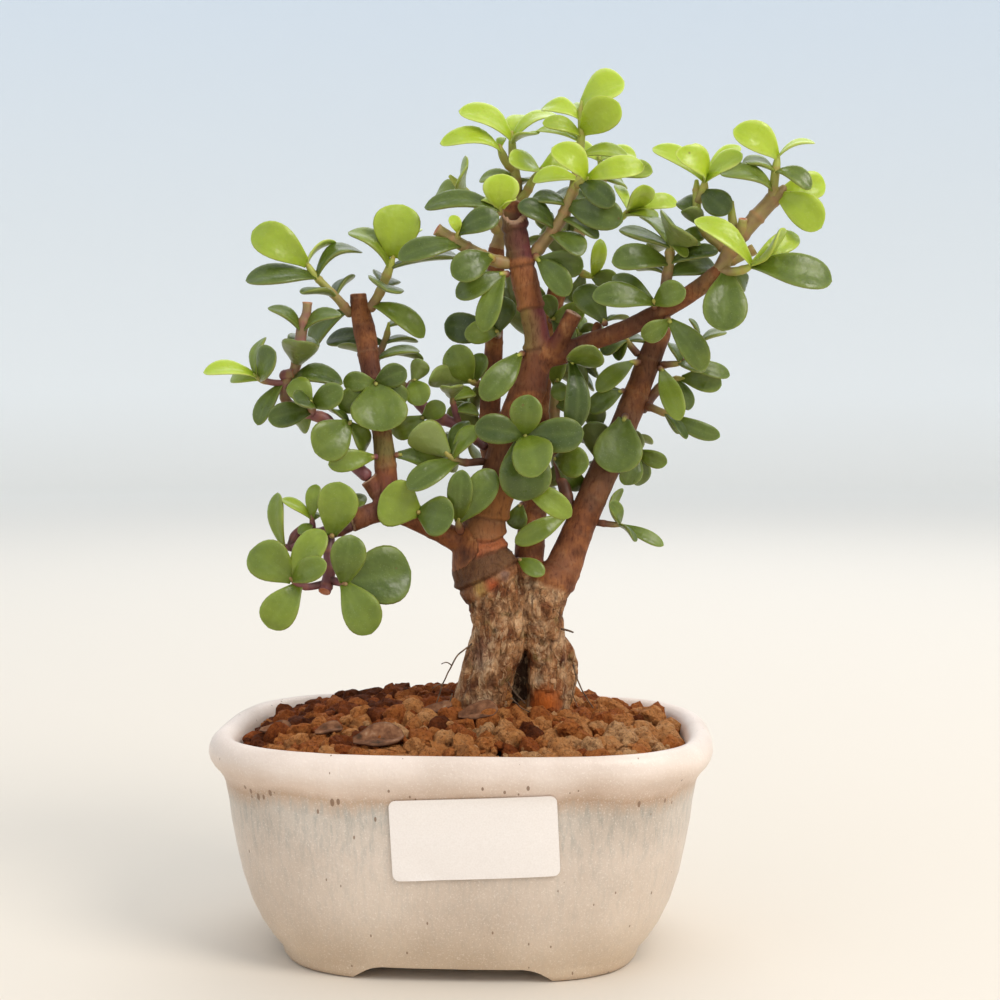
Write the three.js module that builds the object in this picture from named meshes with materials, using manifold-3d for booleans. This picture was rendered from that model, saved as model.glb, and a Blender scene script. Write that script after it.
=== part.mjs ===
// A dwarf jade bonsai in a footed, glazed pot, with its label and the leaves fallen on its soil.
// Millimetres, +Z up, the pot's long side along X and its labelled side facing -Y.

import * as THREE from 'three';
import { mergeVertices } from 'three/addons/utils/BufferGeometryUtils.js';
import Module from 'manifold-3d';

const wasm = await Module();
wasm.setup();

// Pot: half length along X at each height, read up the outer wall from the underside to the lip
const wallProfile = [[45.4, 4], [49.7, 10], [54.1, 21.5], [56.6, 34], [58, 44], [59.4, 46.4]];
const lipProfile = [[60.9, 48], [62, 50.8], [61, 53.8], [58.6, 55], [56.2, 54.1]];
const wallThickness = 3.8;
const floorTop = 8.5;
const baseHalfLength = 41;
const baseHalfWidth = 33;
const widthGain = 0.52;
const cornerPower = 3.2;
const potSegments = 22;
const footHeight = 4;
const footLength = 44;
const footProfile = [[35, 0], [42.6, 0], [44, 1], [44.8, 4.5], [35, 4.5], [35, 0]];
const footSegments = 28;
const footGapAlong = 36;
const footGapAcross = 26;
const drainRadius = 5;
const drainSides = 16;
const drainSpacing = 34;

// Clearance left between pieces that touch
const gap = 0.3;
const fallenGap = 0.5;

// Soil: its level at the wall, the rise of its mound and the grains lying on it
const soilLevel = 50.5;
const moundRise = 8.5;
const moundReach = [56, 52];
const moundBack = 8;
const moundRings = [1, 0.84, 0.68, 0.52, 0.34, 0.17, 0];
const lumpHeight = 0.9;
const lumpWaves = [[1.9, 0.7], [-1.1, 1.3]];
const grainColumns = 3;
const grainRows = 2;
const grainSizes = [2.8, 4];
const grainFlatness = 0.8;
const grainLift = 0.25;
const grainSeed = 7;

// Label stuck on the long wall, drainage mesh on the pot floor
const labelSize = [38.4, 19];
const labelThickness = 0.6;
const labelCentre = [5.8, 36];
const labelTurn = THREE.MathUtils.degToRad(2.6);
const labelSteps = [6, 1, 4];
const meshSize = [52, 18, 0.8];

// The tree is written as it is seen from a viewpoint in front of the pot: each place is
// [across, up, depth], where across and up are read at the trunk and depth runs away from the viewer
const viewAcross = 9.1;
const viewUp = 134;
const viewDistance = 412.5;
const viewTurn = THREE.MathUtils.degToRad(3.5);

// Tubes: how many sides thick limbs, thin limbs and stems have, and where a ring starts from
const thickLimb = 4;
const thickSides = 7;
const thinSides = 5;
const stemSides = 3;
const ringStart = new THREE.Vector3(0.3, 1, 0.2);

// Leaf: where its rings lie along it, with half widths and half thicknesses at each
const leafStations = [0, 0.38, 0.8, 1];
const leafOutline = [0.07, 0.44, 0.47, 0];
const leafBody = [0.5, 1.15, 0.9, 0];
const leafRoot = 0.8;
const leafCup = 0.16;
const plainBend = 0.12;
const leafSides = 3;
const thinLeafWidth = 5;

// Limbs of the wood as paths of [across, up, depth, radius]
const limbs = [
  [[1.8, 46, 0, 8], [3.6, 57, 0, 6.8], [5.4, 65, 0, 6.6], [7.3, 71.5, 0, 7], [9.6, 79, 0, 7.1],
    [9, 86, 0, 7.6], [6, 92, 0, 7.9], [4.2, 97, 0, 6.9], [4, 101, -0.5, 5.5], [5.4, 107, -1, 5.4],
    [7.6, 112, -1.5, 5], [11.3, 124, -2, 5], [13.5, 131, -2, 4.9], [15.9, 138, -2, 4.5],
    [18, 144.5, -2, 3.7], [19, 149, -2, 3.1], [17.9, 154.5, -2.5, 3], [16, 162.5, -3, 3.3],
    [15, 167, -3.5, 3.7], [14, 170.5, -3.5, 3.2], [13.2, 175, -4, 3], [12.7, 179.5, -4.5, 3.2],
    [12.5, 183, -4.5, 3.1]],
  [[20.8, 46, 1, 4.8], [20.9, 57, 1, 4.5], [21.2, 65, 1, 5.1], [21, 72, 1, 4.9], [19.4, 79, 0.5, 5.4],
    [18.8, 86, 0, 6.9], [23.3, 91, 1, 5], [26, 96, 2, 4.3], [28.4, 103, 3.2, 4.1], [31.5, 110, 4.6, 3.9],
    [34.6, 117, 6.4, 3.8], [38, 124.5, 9, 3.5], [41, 132, 11, 3.3], [44, 140, 13, 3.2],
    [46.4, 146, 14.5, 3.1], [48.8, 152.5, 16, 2.9]],
  [[24, 76, 2, 1.5], [27.2, 72.4, 2.6, 1.5], [27.7, 68, 2.6, 1.6], [26.8, 64, 2.6, 1.3],
    [25.6, 58, 2, 1.2]],
  [[13.6, 50, 6.5, 4], [13.8, 58, 6.5, 4], [14.4, 66, 6, 4], [14.8, 74, 4.5, 4]],
  [[15.5, 88, 3, 4], [16.3, 96, 5, 3.8], [16.6, 102, 6.5, 3.7], [17.6, 108, 8.5, 3.3],
    [18.6, 114, 11, 3], [19, 124, 14.5, 2.8], [19, 136, 17.5, 2.7], [20, 148, 19, 2.6],
    [22, 158, 18.5, 2.6], [23.8, 165, 18, 2.4], [25.5, 169, 17.5, 2.1]],
  [[1, 100, -1, 3.8], [-3.5, 101.8, -1.5, 3], [-8, 104, -3, 2.6], [-13, 106.3, -5.5, 2.4],
    [-20, 108.8, -8.5, 2.6], [-25, 107.2, -10, 2.7], [-28.5, 105.2, -11, 2.4]],
  [[-18.8, 107.5, -8, 2.7], [-19.1, 115, -7.5, 2.7], [-19.6, 121.3, -7, 2.8], [-20.3, 128, -6, 2.4],
    [-22, 138, -4, 2.5], [-23.4, 145, -2, 2.4], [-24.3, 151, 0, 2.7], [-25.2, 156, 2, 3.1],
    [-26, 158.5, 3, 2.2], [-26.2, 162.4, 4, 2.1]],
  [[-20.5, 111, -7.5, 2], [-24, 116, -8, 1.9]],
  [[8.5, 116, 2, 3], [7, 122, 6.5, 2.8], [6.5, 130, 10, 2.8], [6.6, 138, 12.5, 2.7], [7.6, 150, 14, 2.4],
    [8, 162, 13.5, 2.2], [8.2, 173, 12.5, 2.1]],
  [[20, 146.5, -2, 2.6], [25, 147, -2.5, 2.5], [31, 150.4, -4, 2.3], [37, 152, -6, 2.3],
    [43, 154.8, -8, 2.3], [49, 158, -10.5, 2.3], [54, 160.6, -12.5, 2.2], [59, 164, -14, 2.1],
    [63.2, 167.4, -15.5, 2.2]],
  [[21, 146, -3, 2.2], [23.8, 150.5, -4.5, 2.1], [27.6, 157.6, -6, 2.1]],
  [[32.6, 151.5, -3.5, 1.4], [33.6, 155, -2, 1.1]],
];

// Leafy shoots: node, stem path of [across, up, depth, radius], and leaves. Rows of one node grow
// together. A leaf is [share of the stem below it, tip across, up and depth, width, facing, bend]
const shoots = [
  ['left_crown_outer', [[-28.4, 157.6, -5, 1.4], [-31, 160.8, -6.5, 1.2], [-34.5, 164.3, -7.5, 1.1],
    [-37.5, 167.5, -8, 1], [-39.2, 170.3, -8, 0.8]], [[0.05, -38.3, 148.6, 2, 6.5, 0.5],
    [0.32, -40.3, 162.2, -14, 6, 0.3], [0.32, -27.8, 166.6, 0, 6, 0], [0.72, -54, 165.4, -11, 7.5, 0.45],
    [0.72, -25.2, 172.6, -5, 7.5, 0.35, 0.3], [1, -52.3, 177.6, -10, 9, 0.7, 0.2],
    [1, -31.5, 174.8, -5, 6, 0, 0.2]]],
  ['left_crown_inner', [[-23, 159, -5, 1.4], [-21, 162, -6, 1.4], [-18.6, 168, -7, 1.3],
    [-17.2, 172, -7.5, 0.8]], [[0.05, -9.8, 152.2, -9, 7, 0.5], [0.4, -19, 163.2, -19, 9.5, 0, 0.05],
    [0.4, -20.5, 166, 5, 8, 0], [0.75, -29, 176.7, -8, 7, 0.4, 0.25], [0.75, -1.3, 170.6, -3, 7, 0, 0.1],
    [1, -15, 184.2, -9.5, 12, 1], [0.95, -22, 176.8, -3, 4.5, 0, 0.3],
    [0.95, -10.3, 178, -3, 4.5, 0, 0.2]]],
  ['left_branch', [[-24.6, 117.3, 1.4, 1.8], [-27.5, 119.8, 2, 1.8], [-30, 123, 1.5, 1.8],
    [-32, 127, 1, 1.7], [-34, 131.3, 0, 1.6], [-38, 132.2, -1, 1.5], [-42, 133.5, -1, 1.4],
    [-44.9, 136.3, -1, 1.3], [-44.3, 140.3, -1, 1.4], [-42, 143.3, -1, 1.4], [-40.8, 149.4, -1, 1.5],
    [-40, 155, -1, 1.6], [-39, 157, -1, 1.25], [-38.8, 160.2, -1, 1.2]],
    [[0.71, -41.3, 150.6, -14, 8.7, 0, 0.05], [0.71, -40, 152, 8, 8, 0, 0.1],
    [0.86, -48.6, 158.8, -3, 5.5, 0.4, 0.2], [0.86, -30.4, 157.2, -1, 5.5, 0.4, 0.2],
    [0.58, -30.2, 140, -4, 7, 0.4, 0.25]]],
  ['left_branch', [[-44.5, 142, -1, 1.7], [-42, 142.5, -2, 1.3]], []],
  ['left_branch', [[-38, 132.5, -1, 1.2], [-37.8, 134, -5, 1.1], [-38.2, 135.6, -8, 0.8]],
    [[0.3, -48.7, 131, -7, 6, 0.7], [0.7, -30.1, 138.8, -9, 6, 0.7], [0.7, -42, 135.6, -14, 6, 0.1],
    [1, -42.6, 140.9, -7, 6.5, 0.7], [0.1, -41.2, 129.2, 3, 5.5, 0.4]]],
  ['left_branch', [[-31.8, 126.5, 0, 1.1], [-29.5, 128.8, -2.5, 1], [-28.2, 130.6, -4, 0.8]],
    [[0.9, -37.2, 122.8, -9, 10, 0.95, 0.05], [0.9, -24.5, 124, 3, 6, 0.5], [1, -33.5, 133.3, 3, 4, 0]]],
  ['left_branch', [[-44.8, 140, -1, 1], [-48, 140.3, -2, 0.9], [-50.8, 141, -3, 0.9],
    [-52.3, 142.3, -4, 0.7]], [[0.05, -50.9, 129.3, -4, 5.5, 0.5], [0.75, -58, 141.9, 3, 5, 0.2],
    [0.75, -46.5, 147.9, -10, 8, 0.45, 0.1], [1, -64.8, 142.6, -7, 6, 0.15, 0.15],
    [1, -49.1, 151.4, 0, 5, 0.1, 0.15]]],
  ['stub_front', [[-22, 140, -7.3, 1.1], [-21.8, 139.9, -9.5, 0.9]], [[0.4, -30, 140.6, -10, 5.5, 0.6],
    [0.4, -14.2, 143.4, -10, 6, 0.6], [1, -20.5, 128.4, -15, 13.5, 0.95, 0.05],
    [0.2, -31, 133.8, -9, 6, 0.6], [0.2, -14, 136, -8, 6, 0.5]]],
  ['stub_behind', [[-22.2, 145, -1.6, 1.1], [-20.5, 148.5, 2, 1], [-19, 152, 4, 0.9],
    [-18.6, 155, 5, 0.7]], [[0.1, -31.3, 149.4, 1, 5.5, 0.4], [0.1, -11, 148.1, -1, 5.5, 0.5],
    [0.25, -10, 146, 3, 4, 0.3], [0.55, -34, 150.5, 7, 6.5, 0.6], [0.55, -11.5, 150.5, 8, 5, 0.3],
    [1, -13.5, 154.5, 10, 5, 0.3]]],
  ['stub_leaf_left', [[-21.4, 121.8, -5.5, 1], [-22.9, 121.7, -7.5, 0.9]],
    [[0.8, -33.9, 119.7, -11, 5.5, 0.35]]],
  ['stub_leaf_right', [[-16.7, 122.2, -5.2, 1], [-15.7, 122.3, -5.5, 0.9]],
    [[0.8, -4.2, 119.9, 5, 7, 0.4]]],
  ['mid_left', [[5, 124.5, -1, 1.3], [-1, 129.5, 2, 1.5], [-6, 131.5, 3, 1.7], [-10, 134, 3, 1.8],
    [-12.2, 136.4, 3, 1.6], [-15.3, 140.5, 2, 1]], [[1, -20.5, 137, 4, 5.5, 0.6]]],
  ['mid_left', [[-1.2, 129.8, 2, 1], [-2.8, 135.8, 0, 0.8], [-3, 137.2, -2, 0.7]],
    [[0.95, -3.3, 139.4, -12, 6.2, 0, 0.05], [0.8, 2.6, 138, 4, 4.5, 0.2], [0.4, 3.8, 133, 4, 5, 0.4]]],
  ['mid_left', [[-13.8, 138.5, 2.5, 1], [-13.2, 140.3, -0.5, 0.9], [-12.2, 140.9, -2, 0.8]],
    [[0.9, -10.2, 135, -6, 6.5, 0.95], [0.9, -10, 145.8, -3, 5.5, -0.7]]],
  ['mid_left', [[-8.5, 132.5, 2, 0.9], [-10.4, 131.4, -1.5, 0.8]], [[1, -4.8, 134.9, -3.5, 5, 0.5],
    [1, -17.9, 127.6, 0, 5.5, 0.6]]],
  ['centre_left', [[4.2, 139.8, 6.6, 1.1], [2.6, 140.3, 2, 1], [1.5, 140.8, -1, 0.9]],
    [[0.9, -8.6, 141.6, -8, 7, -0.5], [1, -2.7, 149.4, -4, 8, 0.9], [0.6, 4.8, 147.5, 1, 5, 0.5]]],
  ['centre_left_low', [[4.6, 120.6, -3, 1.1], [0.5, 120.2, -6, 1.05], [-2.6, 121, -8, 1],
    [-4.4, 122.8, -9, 0.9]], [[1, -12.8, 128.4, -12, 10, -0.35], [0.8, 3.6, 129.2, -9, 5.5, 0.4],
    [0.85, 1, 130.8, -5, 5, 0.3], [0.65, -14, 113.4, -14, 7, 0.5]]],
  ['low_front_left', [[-11.2, 107.6, -5.2, 1.1], [-11.3, 107.9, -7.5, 1]],
    [[1, -20.7, 112.3, -10, 11.3, 0.95, 0.05], [1, -2.6, 106.2, -11, 10.2, 0.9, 0.08]]],
  ['low_front_mid', [[-0.6, 102.5, -3.2, 1.2], [-1.4, 105, -7, 1], [-1.2, 106.3, -8.5, 0.9]],
    [[0.8, -0.3, 118.3, -12, 6.5, 0.5], [1, 7.6, 118.3, -10, 8.2, 0.9]]],
  ['low_left_branch', [[-28.9, 104.8, -3.5, 2.2], [-31, 103.9, -3.5, 2.2], [-35, 102.5, -3.5, 2],
    [-40, 100.4, -3.5, 1.9], [-43.2, 98.8, -3.5, 1.7]], [[0.28, -24.8, 112, 3, 5, 0.6]]],
  ['low_left_branch', [[-43, 99.8, -3.5, 1.4], [-42, 102.5, -3.5, 1.4], [-40.6, 104.3, -3.5, 1.1]], []],
  ['low_left_branch', [[-43, 98.9, -3.5, 1.1], [-46, 99.5, -3.5, 0.9]], [[1, -46.6, 112.7, -4, 6, 0.5]]],
  ['low_left_branch', [[-38, 102.5, -4, 1], [-37.8, 105, -4.5, 0.9], [-38.2, 107, -5, 0.8]],
    [[0.5, -41.2, 102.6, -8, 3, 0.6], [0.7, -36.3, 107.9, -2, 3, 0.6], [1, -45.6, 111, -6, 4, 0.3],
    [1, -36.8, 114.8, -4, 4, 0.5]]],
  ['low_left_branch', [[-33.3, 102.8, -4.5, 1.2], [-33, 101.8, -7.5, 1]],
    [[1, -31, 115.3, -9, 10, 0.95, 0.05]]],
  ['low_left_branch', [[-33.8, 102, -4, 1.6], [-33.7, 96, -6, 1.6], [-33.8, 91.5, -7.5, 1.7],
    [-35, 87.9, -9.5, 1.7]], []],
  ['low_left_branch', [[-33.6, 90.8, -8, 1.2], [-31, 90.2, -10, 1.1], [-29.6, 89.8, -12, 0.9]],
    [[1, -28.3, 102.2, -13, 8.5, 0.95], [1, -23.3, 77.3, -14, 9.3, 0.95],
    [0.7, -13.2, 93, -8, 14, 0.95, 0.03]]],
  ['low_left_branch', [[-34.2, 90, -8, 1.1], [-39.5, 88.9, -10, 1], [-42.6, 90.3, -11.5, 0.9],
    [-43.6, 91.3, -12.5, 0.8]], [[0.7, -49, 78.8, -12, 8.8, 0.85], [0.95, -53.6, 98, -14, 9.5, 0.9],
    [0.95, -34.3, 95, -16, 6.5, 0.8], [1, -35, 103.2, -12, 7.5, 0.7]]],
  ['shoulder', [[10.6, 169.9, -4.6, 1.8], [7, 170.6, -6, 1.7], [2, 173, -7, 1.7], [-2, 175.3, -7.5, 1.7],
    [-6.6, 178.2, -8, 1.6]], [[0.62, -16.1, 171.2, -13, 6.5, 0.5]]],
  ['shoulder', [[-1.6, 175.8, -8, 1.1], [-1.1, 178, -9.5, 0.8]], [[0.7, 8.7, 181.8, -11, 7, 0.45, 0.15],
    [1, -3, 181.6, -10, 3, 0.7, 0.3]]],
  ['shoulder', [[7.3, 170.8, -7, 1.1], [6.6, 171.8, -9, 0.9]], [[1, -2.9, 166.6, -13, 8, 0.9]]],
  ['trunk_top', [[9, 182.3, -5.5, 1], [9.2, 184, -6.5, 0.8]], [[0.4, -9.5, 183.4, -5, 6.5, 0.3],
    [1, 9.8, 191.9, -9, 9.3, 1], [1, 4.4, 185.6, -4, 4, 0.3, 0.3], [1, 13.3, 185.6, -7, 3, 0.2, 0.3]]],
  ['trunk_left_hang', [[10.8, 167.2, -5, 1.1], [9.2, 167.2, -6, 1]], [[0.6, 5, 152.7, -9, 6, 0.7],
    [1, -1.7, 161.4, -7, 6, 0.4]]],
  ['top_centre', [[8.3, 173.8, 5.4, 2], [10, 179, 5, 1.9], [12.2, 184, 5, 1.8], [13.5, 188, 5, 1.6],
    [12.9, 192, 4.5, 1.4], [12.2, 197, 4, 1.3], [12, 202, 3.5, 0.9]],
    [[0.93, -1, 207.2, -1, 8, 0.5, 0.2], [0.93, 23.8, 206.2, 4, 6.5, 0.4, 0.25],
    [0.9, 18.6, 201.3, -4, 5.5, 0.2], [0.62, 4, 190.4, 8, 5.5, 0.4], [0.9, 14, 206, 11, 5, 0.5]]],
  ['top_centre', [[12.6, 192.6, 4.5, 1.2], [10.4, 194.8, 3, 1.3], [8.9, 198.6, 2, 1.2]],
    [[0.8, -5.4, 199.8, -3, 6.5, 0.45, 0.25], [1, 9.8, 200.9, 5, 2.6, 0.5]]],
  ['top_centre', [[9.2, 176.8, 5, 1.4], [5.5, 181.5, 3, 1.3], [1, 187, 1, 1.2], [-3.2, 191.2, 0, 1]],
    [[0.72, 1.6, 193.9, -9, 9.5, 0.45], [0.72, -6.3, 187.6, 7, 5.5, 0.4]]],
  ['top_centre', [[12.5, 184, 5, 1.4], [15.6, 187, 4, 1.3], [17, 190, 3, 1.2], [19.6, 193, 2, 1]],
    [[1, 11.3, 194.7, -6, 7, 0.3], [1, 27, 196, 8, 6.5, 0.4], [0.7, 10.5, 187, 12, 6, 0.4]]],
  ['fork', [[17.6, 172, -3.2, 1.8], [19.5, 174.6, -3.2, 1.8], [22.5, 178, -4, 1.8], [24.6, 181, -4, 1.7],
    [26.5, 186, -4.5, 1.6], [28.9, 191.4, -5, 1.1]], [[0.36, 13.9, 184.4, -9, 7, 0.5],
    [0.5, 33.5, 176.2, -9, 5, 0.5], [0.28, 29.3, 171.4, -12, 6.5, 0.6], [0.66, 39.6, 179.8, -10, 8, 0.8],
    [0.66, 17.2, 186, -4, 6, 0.4], [0.95, 17.2, 190.2, -4, 6, 0.45]]],
  ['fork_low', [[18, 171.5, -4.6, 1.1], [18.9, 170.3, -6.5, 0.9]], [[1, 26.2, 161.8, -10, 6.5, 0.6],
    [0.8, 29.8, 169, -6, 6.5, 0.6]]],
  ['fork', [[28.2, 189, -5.4, 1.1], [31, 190.8, -8, 1]], [[1, 22, 198.2, -12, 6.5, 0.5, 0.25],
    [1, 44.8, 193.7, -10, 6, 0.3, 0.2], [0.3, 37.2, 184.2, -13, 7, 0.75]]],
  ['fork', [[27.2, 188, -4.2, 1.3], [28.4, 194, -2.5, 1.3], [29.3, 201, -2.5, 1.1], [29.2, 206, -2.5, 1],
    [29.3, 209.5, -2.5, 0.9]], [[1, 40.2, 215.2, -8, 12, 0.62], [0.62, 39.2, 207.6, -9, 8.5, 0.9],
    [0.8, 19.4, 207.9, 0, 6, 0.5, 0.2], [0.62, 19.7, 204.3, -6, 5.5, 0.5, 0.15],
    [0.55, 18.3, 203, 4, 5, 0.4, 0.1], [0.38, 40.9, 195.9, -3, 5, 0.5, 0.2],
    [0.9, 25.8, 208, 5, 4, 0.5]]],
  ['centre_behind', [[8.4, 152, 5.7, 1.1], [8.6, 152.6, 2.5, 1], [8.2, 153, -0.5, 0.9]],
    [[0.6, -4.7, 154.8, 4, 8, 0.85], [1, 0.4, 152.3, -5, 6.5, 0.7], [0.8, 10.5, 161.5, 1, 7, 0.8]]],
  ['trunk_leaf_left', [[14.6, 147.4, -4, 1], [13.6, 147, -6, 0.9]], [[0.9, 4.6, 136.1, -12, 8, 0.5]]],
  ['trunk_front', [[14.5, 126.8, -7.2, 1.2], [15.5, 127, -10, 1]], [[0.7, 2.7, 129.2, -13, 7.8, 0.85],
    [0.7, 30, 127.7, -12, 9, 0.7], [1, 16.2, 137.2, -13, 8, 0.95], [1, 18.5, 117, -19, 10.5, 0.8],
    [0.2, 15, 110.8, -11, 12.5, 0.85]]],
  ['trunk_leaf_low', [[13.6, 115.4, -4.6, 1], [15, 115.4, -6, 0.9]], [[0.9, 26.9, 107, -8, 6, 0.6]]],
  ['limb_leaf_low', [[26.3, 107.4, -1.2, 1], [25, 106.8, -2, 0.9]], [[0.9, 13, 100.2, -6, 6, 0.5]]],
  ['back_stem_leaf', [[14.6, 110, 4.6, 0.9], [13.9, 109.5, 3.5, 0.8]], [[0.9, 13.2, 103.6, 3, 5.5, 0.7]]],
  ['crotch_leaf', [[13.6, 96, -1.6, 0.8], [14.2, 95.9, -3, 0.8]], [[0.9, 20.1, 92.2, -6, 4.5, 0.6]]],
  ['back_right', [[27, 106.8, 5.2, 1.8], [25, 115, 6.5, 1.8], [23.3, 124, 7.4, 1.6], [22.6, 134, 8, 1.5],
    [23, 140, 8, 1.2]], [[1, 24.2, 147, 6, 5, 0.4], [0.85, 28.5, 134, 7, 6, 0.6]]],
  ['back_right', [[23.6, 121.8, 6.5, 1], [22.8, 121.2, 2, 0.9]], [[0.9, 31, 119.8, -3, 7.5, 0.85],
    [0.4, 29.6, 113.6, 9, 5, 0.7]]],
  ['back_right', [[22.8, 138, 7.5, 0.9], [23.4, 141, 4.5, 0.8]], [[1, 24.4, 135.8, 1.5, 5, 0.7]]],
  ['fork_front', [[26.3, 146.2, -5, 1.1], [27.2, 145.2, -6.5, 1]], [[0.7, 27.4, 128.2, -8, 7, 0.5],
    [1, 32.5, 149.4, -15, 9.5, 0.35]]],
  ['limb_round', [[40.4, 131.8, 0.2, 1.1], [40, 131, -2, 1]], [[1, 36.5, 118, -7, 12.3, 0.95, 0.03]]],
  ['limb_mid_right', [[41.6, 124.2, 3, 1], [43, 123.2, 2.5, 0.9], [43.8, 122.8, 2, 0.8]],
    [[1, 50.9, 120.2, 0, 5, 0.3], [0.9, 43.9, 114.6, 5, 5.5, 0.6], [0.5, 40.2, 114.8, 0, 6, 0.7]]],
  ['limb_low_right', [[33.3, 105.3, 2.6, 1], [37, 104.8, 1, 0.9], [39.8, 104.6, 0, 0.8]],
    [[0.95, 36.6, 110.5, -5, 3.8, 0.4], [1, 40.3, 113.8, 4, 4, 0.2, -0.25],
    [1, 49.9, 99.2, -1, 4, 0.3, 0.08], [0.95, 42.9, 100.6, -6, 3.5, 0.4]]],
  ['limb_right_low', [[44.9, 133.8, 5, 1.5], [47, 137, 7, 1.5], [50, 140, 8, 1.4], [53.5, 141.3, 6.5, 1],
    [55, 141.3, 5.5, 0.8]], [[0.85, 56.2, 133.4, 5, 5, 0.5], [1, 64.3, 139.7, 4, 6, 0.6]]],
  ['limb_right_low', [[45.8, 134.4, 5.5, 1.3], [47, 134, 2, 1.1], [50.4, 132.5, 0, 1],
    [52, 132, -0.5, 0.8]], [[0.8, 55.5, 126, -4, 4.2, 0.4], [1, 64, 126.8, -2, 4.5, 0.35],
    [0.8, 54.7, 128, 3, 3.5, 0.3]]],
  ['limb_leaf_right', [[49, 143.8, 2, 1], [49.7, 143, 0.5, 0.9]], [[0.9, 54, 131, -8, 6, 0.75]]],
  ['limb_leaf_left', [[43.8, 145.2, 3.8, 1], [41.6, 145.4, 1.5, 0.9]],
    [[0.9, 33.2, 138.1, -3, 5.5, 0.6]]],
  ['limb_right_high', [[49.5, 144.6, 4, 1.1], [51, 144.8, 2, 1], [53.6, 145, 1, 0.9],
    [55, 145.3, 0.5, 0.8]], [[1, 66.3, 142, 2, 4.5, 0.4], [0.8, 60, 142.9, -5, 5.5, 0.5],
    [0.85, 51.5, 150, 4, 5, 0.4]]],
  ['limb_right_high', [[55, 145.3, 0.8, 0.9], [57.5, 148, 3, 0.8], [59.2, 151, 3.5, 0.7]],
    [[1, 65.5, 152.8, 3, 5, 0.3], [1, 56.2, 156.2, 2, 3, 0.3]]],
  ['arch_hang', [[50.8, 156.1, -5.6, 1.1], [51.5, 155.3, -7, 1]], [[0.8, 60.2, 143.5, -10, 7.2, 0.7],
    [0.8, 44.3, 151.8, -7, 5.5, 0.6]]],
  ['arch_behind', [[43.2, 147.6, 4.6, 1.1], [41.6, 149.4, 5.5, 1], [40.2, 151.6, 5.5, 0.9]],
    [[0.8, 38, 146, 7, 5, 0.6], [0.8, 45.6, 150.5, 9, 5, 0.5], [1, 34.5, 147.5, 4, 6, 0.5]]],
  ['limb_left_dark', [[39.8, 138.2, 3, 1], [38.8, 138, 2, 0.9]], [[1, 31.2, 133.2, 0, 5, 0.3],
    [0.6, 34.6, 137.2, 6, 5, 0.5]]],
  ['arch_up', [[50.1, 161.6, -4.6, 1.6], [50.3, 165, -5, 1.5], [51.2, 170, -5, 1.4],
    [51.3, 173.8, -5, 1.3], [52.3, 174.8, -5.5, 0.9]], [[0.6, 37, 170.2, -10, 7, 0.6],
    [0.6, 63.3, 172.6, -9, 5, 0.5], [0.4, 43.2, 168, 3, 4.5, 0.3], [0.4, 62.3, 169, -1, 6, 0.6],
    [0.92, 51.5, 179, -17, 12.5, 0.1], [0.9, 38.6, 177.8, -4, 7, 0.2, 0.05], [0.9, 46, 172.6, 5, 5, 0.3],
    [1, 59, 174.6, -8, 2.6, 0.3], [1, 60, 177.6, -2, 4, 0.5], [1, 55.5, 171.5, -10, 3, 0.6],
    [0.9, 44.5, 180.5, 7, 6, 0.4]]],
  ['arch_low', [[47.5, 159.2, -6.4, 1.1], [47.4, 160.6, -7.5, 1]], [[0.8, 32, 161.5, -10, 7, 0.55],
    [0.8, 55.2, 163.3, -12, 6, 0.7], [1, 37.2, 166.9, -3, 5, 0.4]]],
  ['back_top', [[25.9, 170, 8.3, 2], [28, 175.5, 8, 1.9], [31.3, 183, 8, 1.7], [34.5, 190, 8, 1.5],
    [34.6, 193, 7, 1.2], [33.5, 196, 6, 1]], [[0.8, 47, 191.8, 1, 7, 0.4],
    [1, 42.8, 196, 5, 6, 0.3, 0.2], [1, 24, 197.5, 16, 6, 0.3], [0.8, 40, 188.6, 14, 6, 0.4],
    [0.55, 22, 186, 14, 7, 0.5]]],
  ['back_top', [[25.9, 170.5, 8, 1.3], [29, 167.5, 7, 1.1], [32.8, 166.3, 5, 0.9]],
    [[1, 38.6, 165.3, 2, 6, 0.6], [1, 34, 175.8, 1, 5, 0.6, 0.2], [0.6, 26, 160, 14, 6, 0.6]]],
  ['back_top', [[30.5, 181.3, 7.5, 1.2], [35, 180, 4, 1], [39.5, 181, 2, 1], [41.5, 183.5, 1, 0.8]],
    [[1, 44.5, 189.3, -7, 8, 0.5], [1, 53, 184.7, 3, 5, 0.4, 0.15], [1, 38, 189.2, 6, 4, 0.5],
    [0.8, 48.3, 180.8, -3, 5, 0.3]]],
  ['arch_root', [[35.2, 154.9, -2.6, 1.1], [34.9, 156.2, -2.6, 1]], [[0.9, 28.6, 164, -1, 7.5, 0.8],
    [0.9, 40.8, 155.9, 3, 4, 0.2]]],
  ['back_centre', [[21.8, 155.8, 7, 1], [22.6, 156.2, 4.5, 0.9]], [[1, 30.2, 158.2, 1.5, 6, 0.5],
    [0.8, 20.2, 162, 3.5, 4.5, 0.4], [0.8, 27, 149.5, 5, 6, 0.6]]],
  ['arch_end', [[63.7, 168, -4.1, 2.1], [66, 172.4, -4, 2.1], [69, 177, -4, 2.2], [72.5, 181, -4, 2.2],
    [76, 184.8, -4, 2.1], [79.3, 188.2, -4, 2]], [[0.95, 89.6, 189, -2, 7, 0.7],
    [0.92, 88.8, 178.5, -8, 8.5, 0.85]]],
  ['arch_end', [[65.5, 170, -4, 1.4], [69, 171.4, -4, 1.2], [72.3, 173.4, -4, 1.5]], []],
  ['arch_end', [[68.8, 176.5, -5, 1.3], [69.4, 180.8, -6, 1.2]], []],
  ['arch_end', [[67.8, 176, -3, 1.3], [66.5, 181.5, -3, 1.2], [66.8, 185, -3, 0.5]], []],
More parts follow.
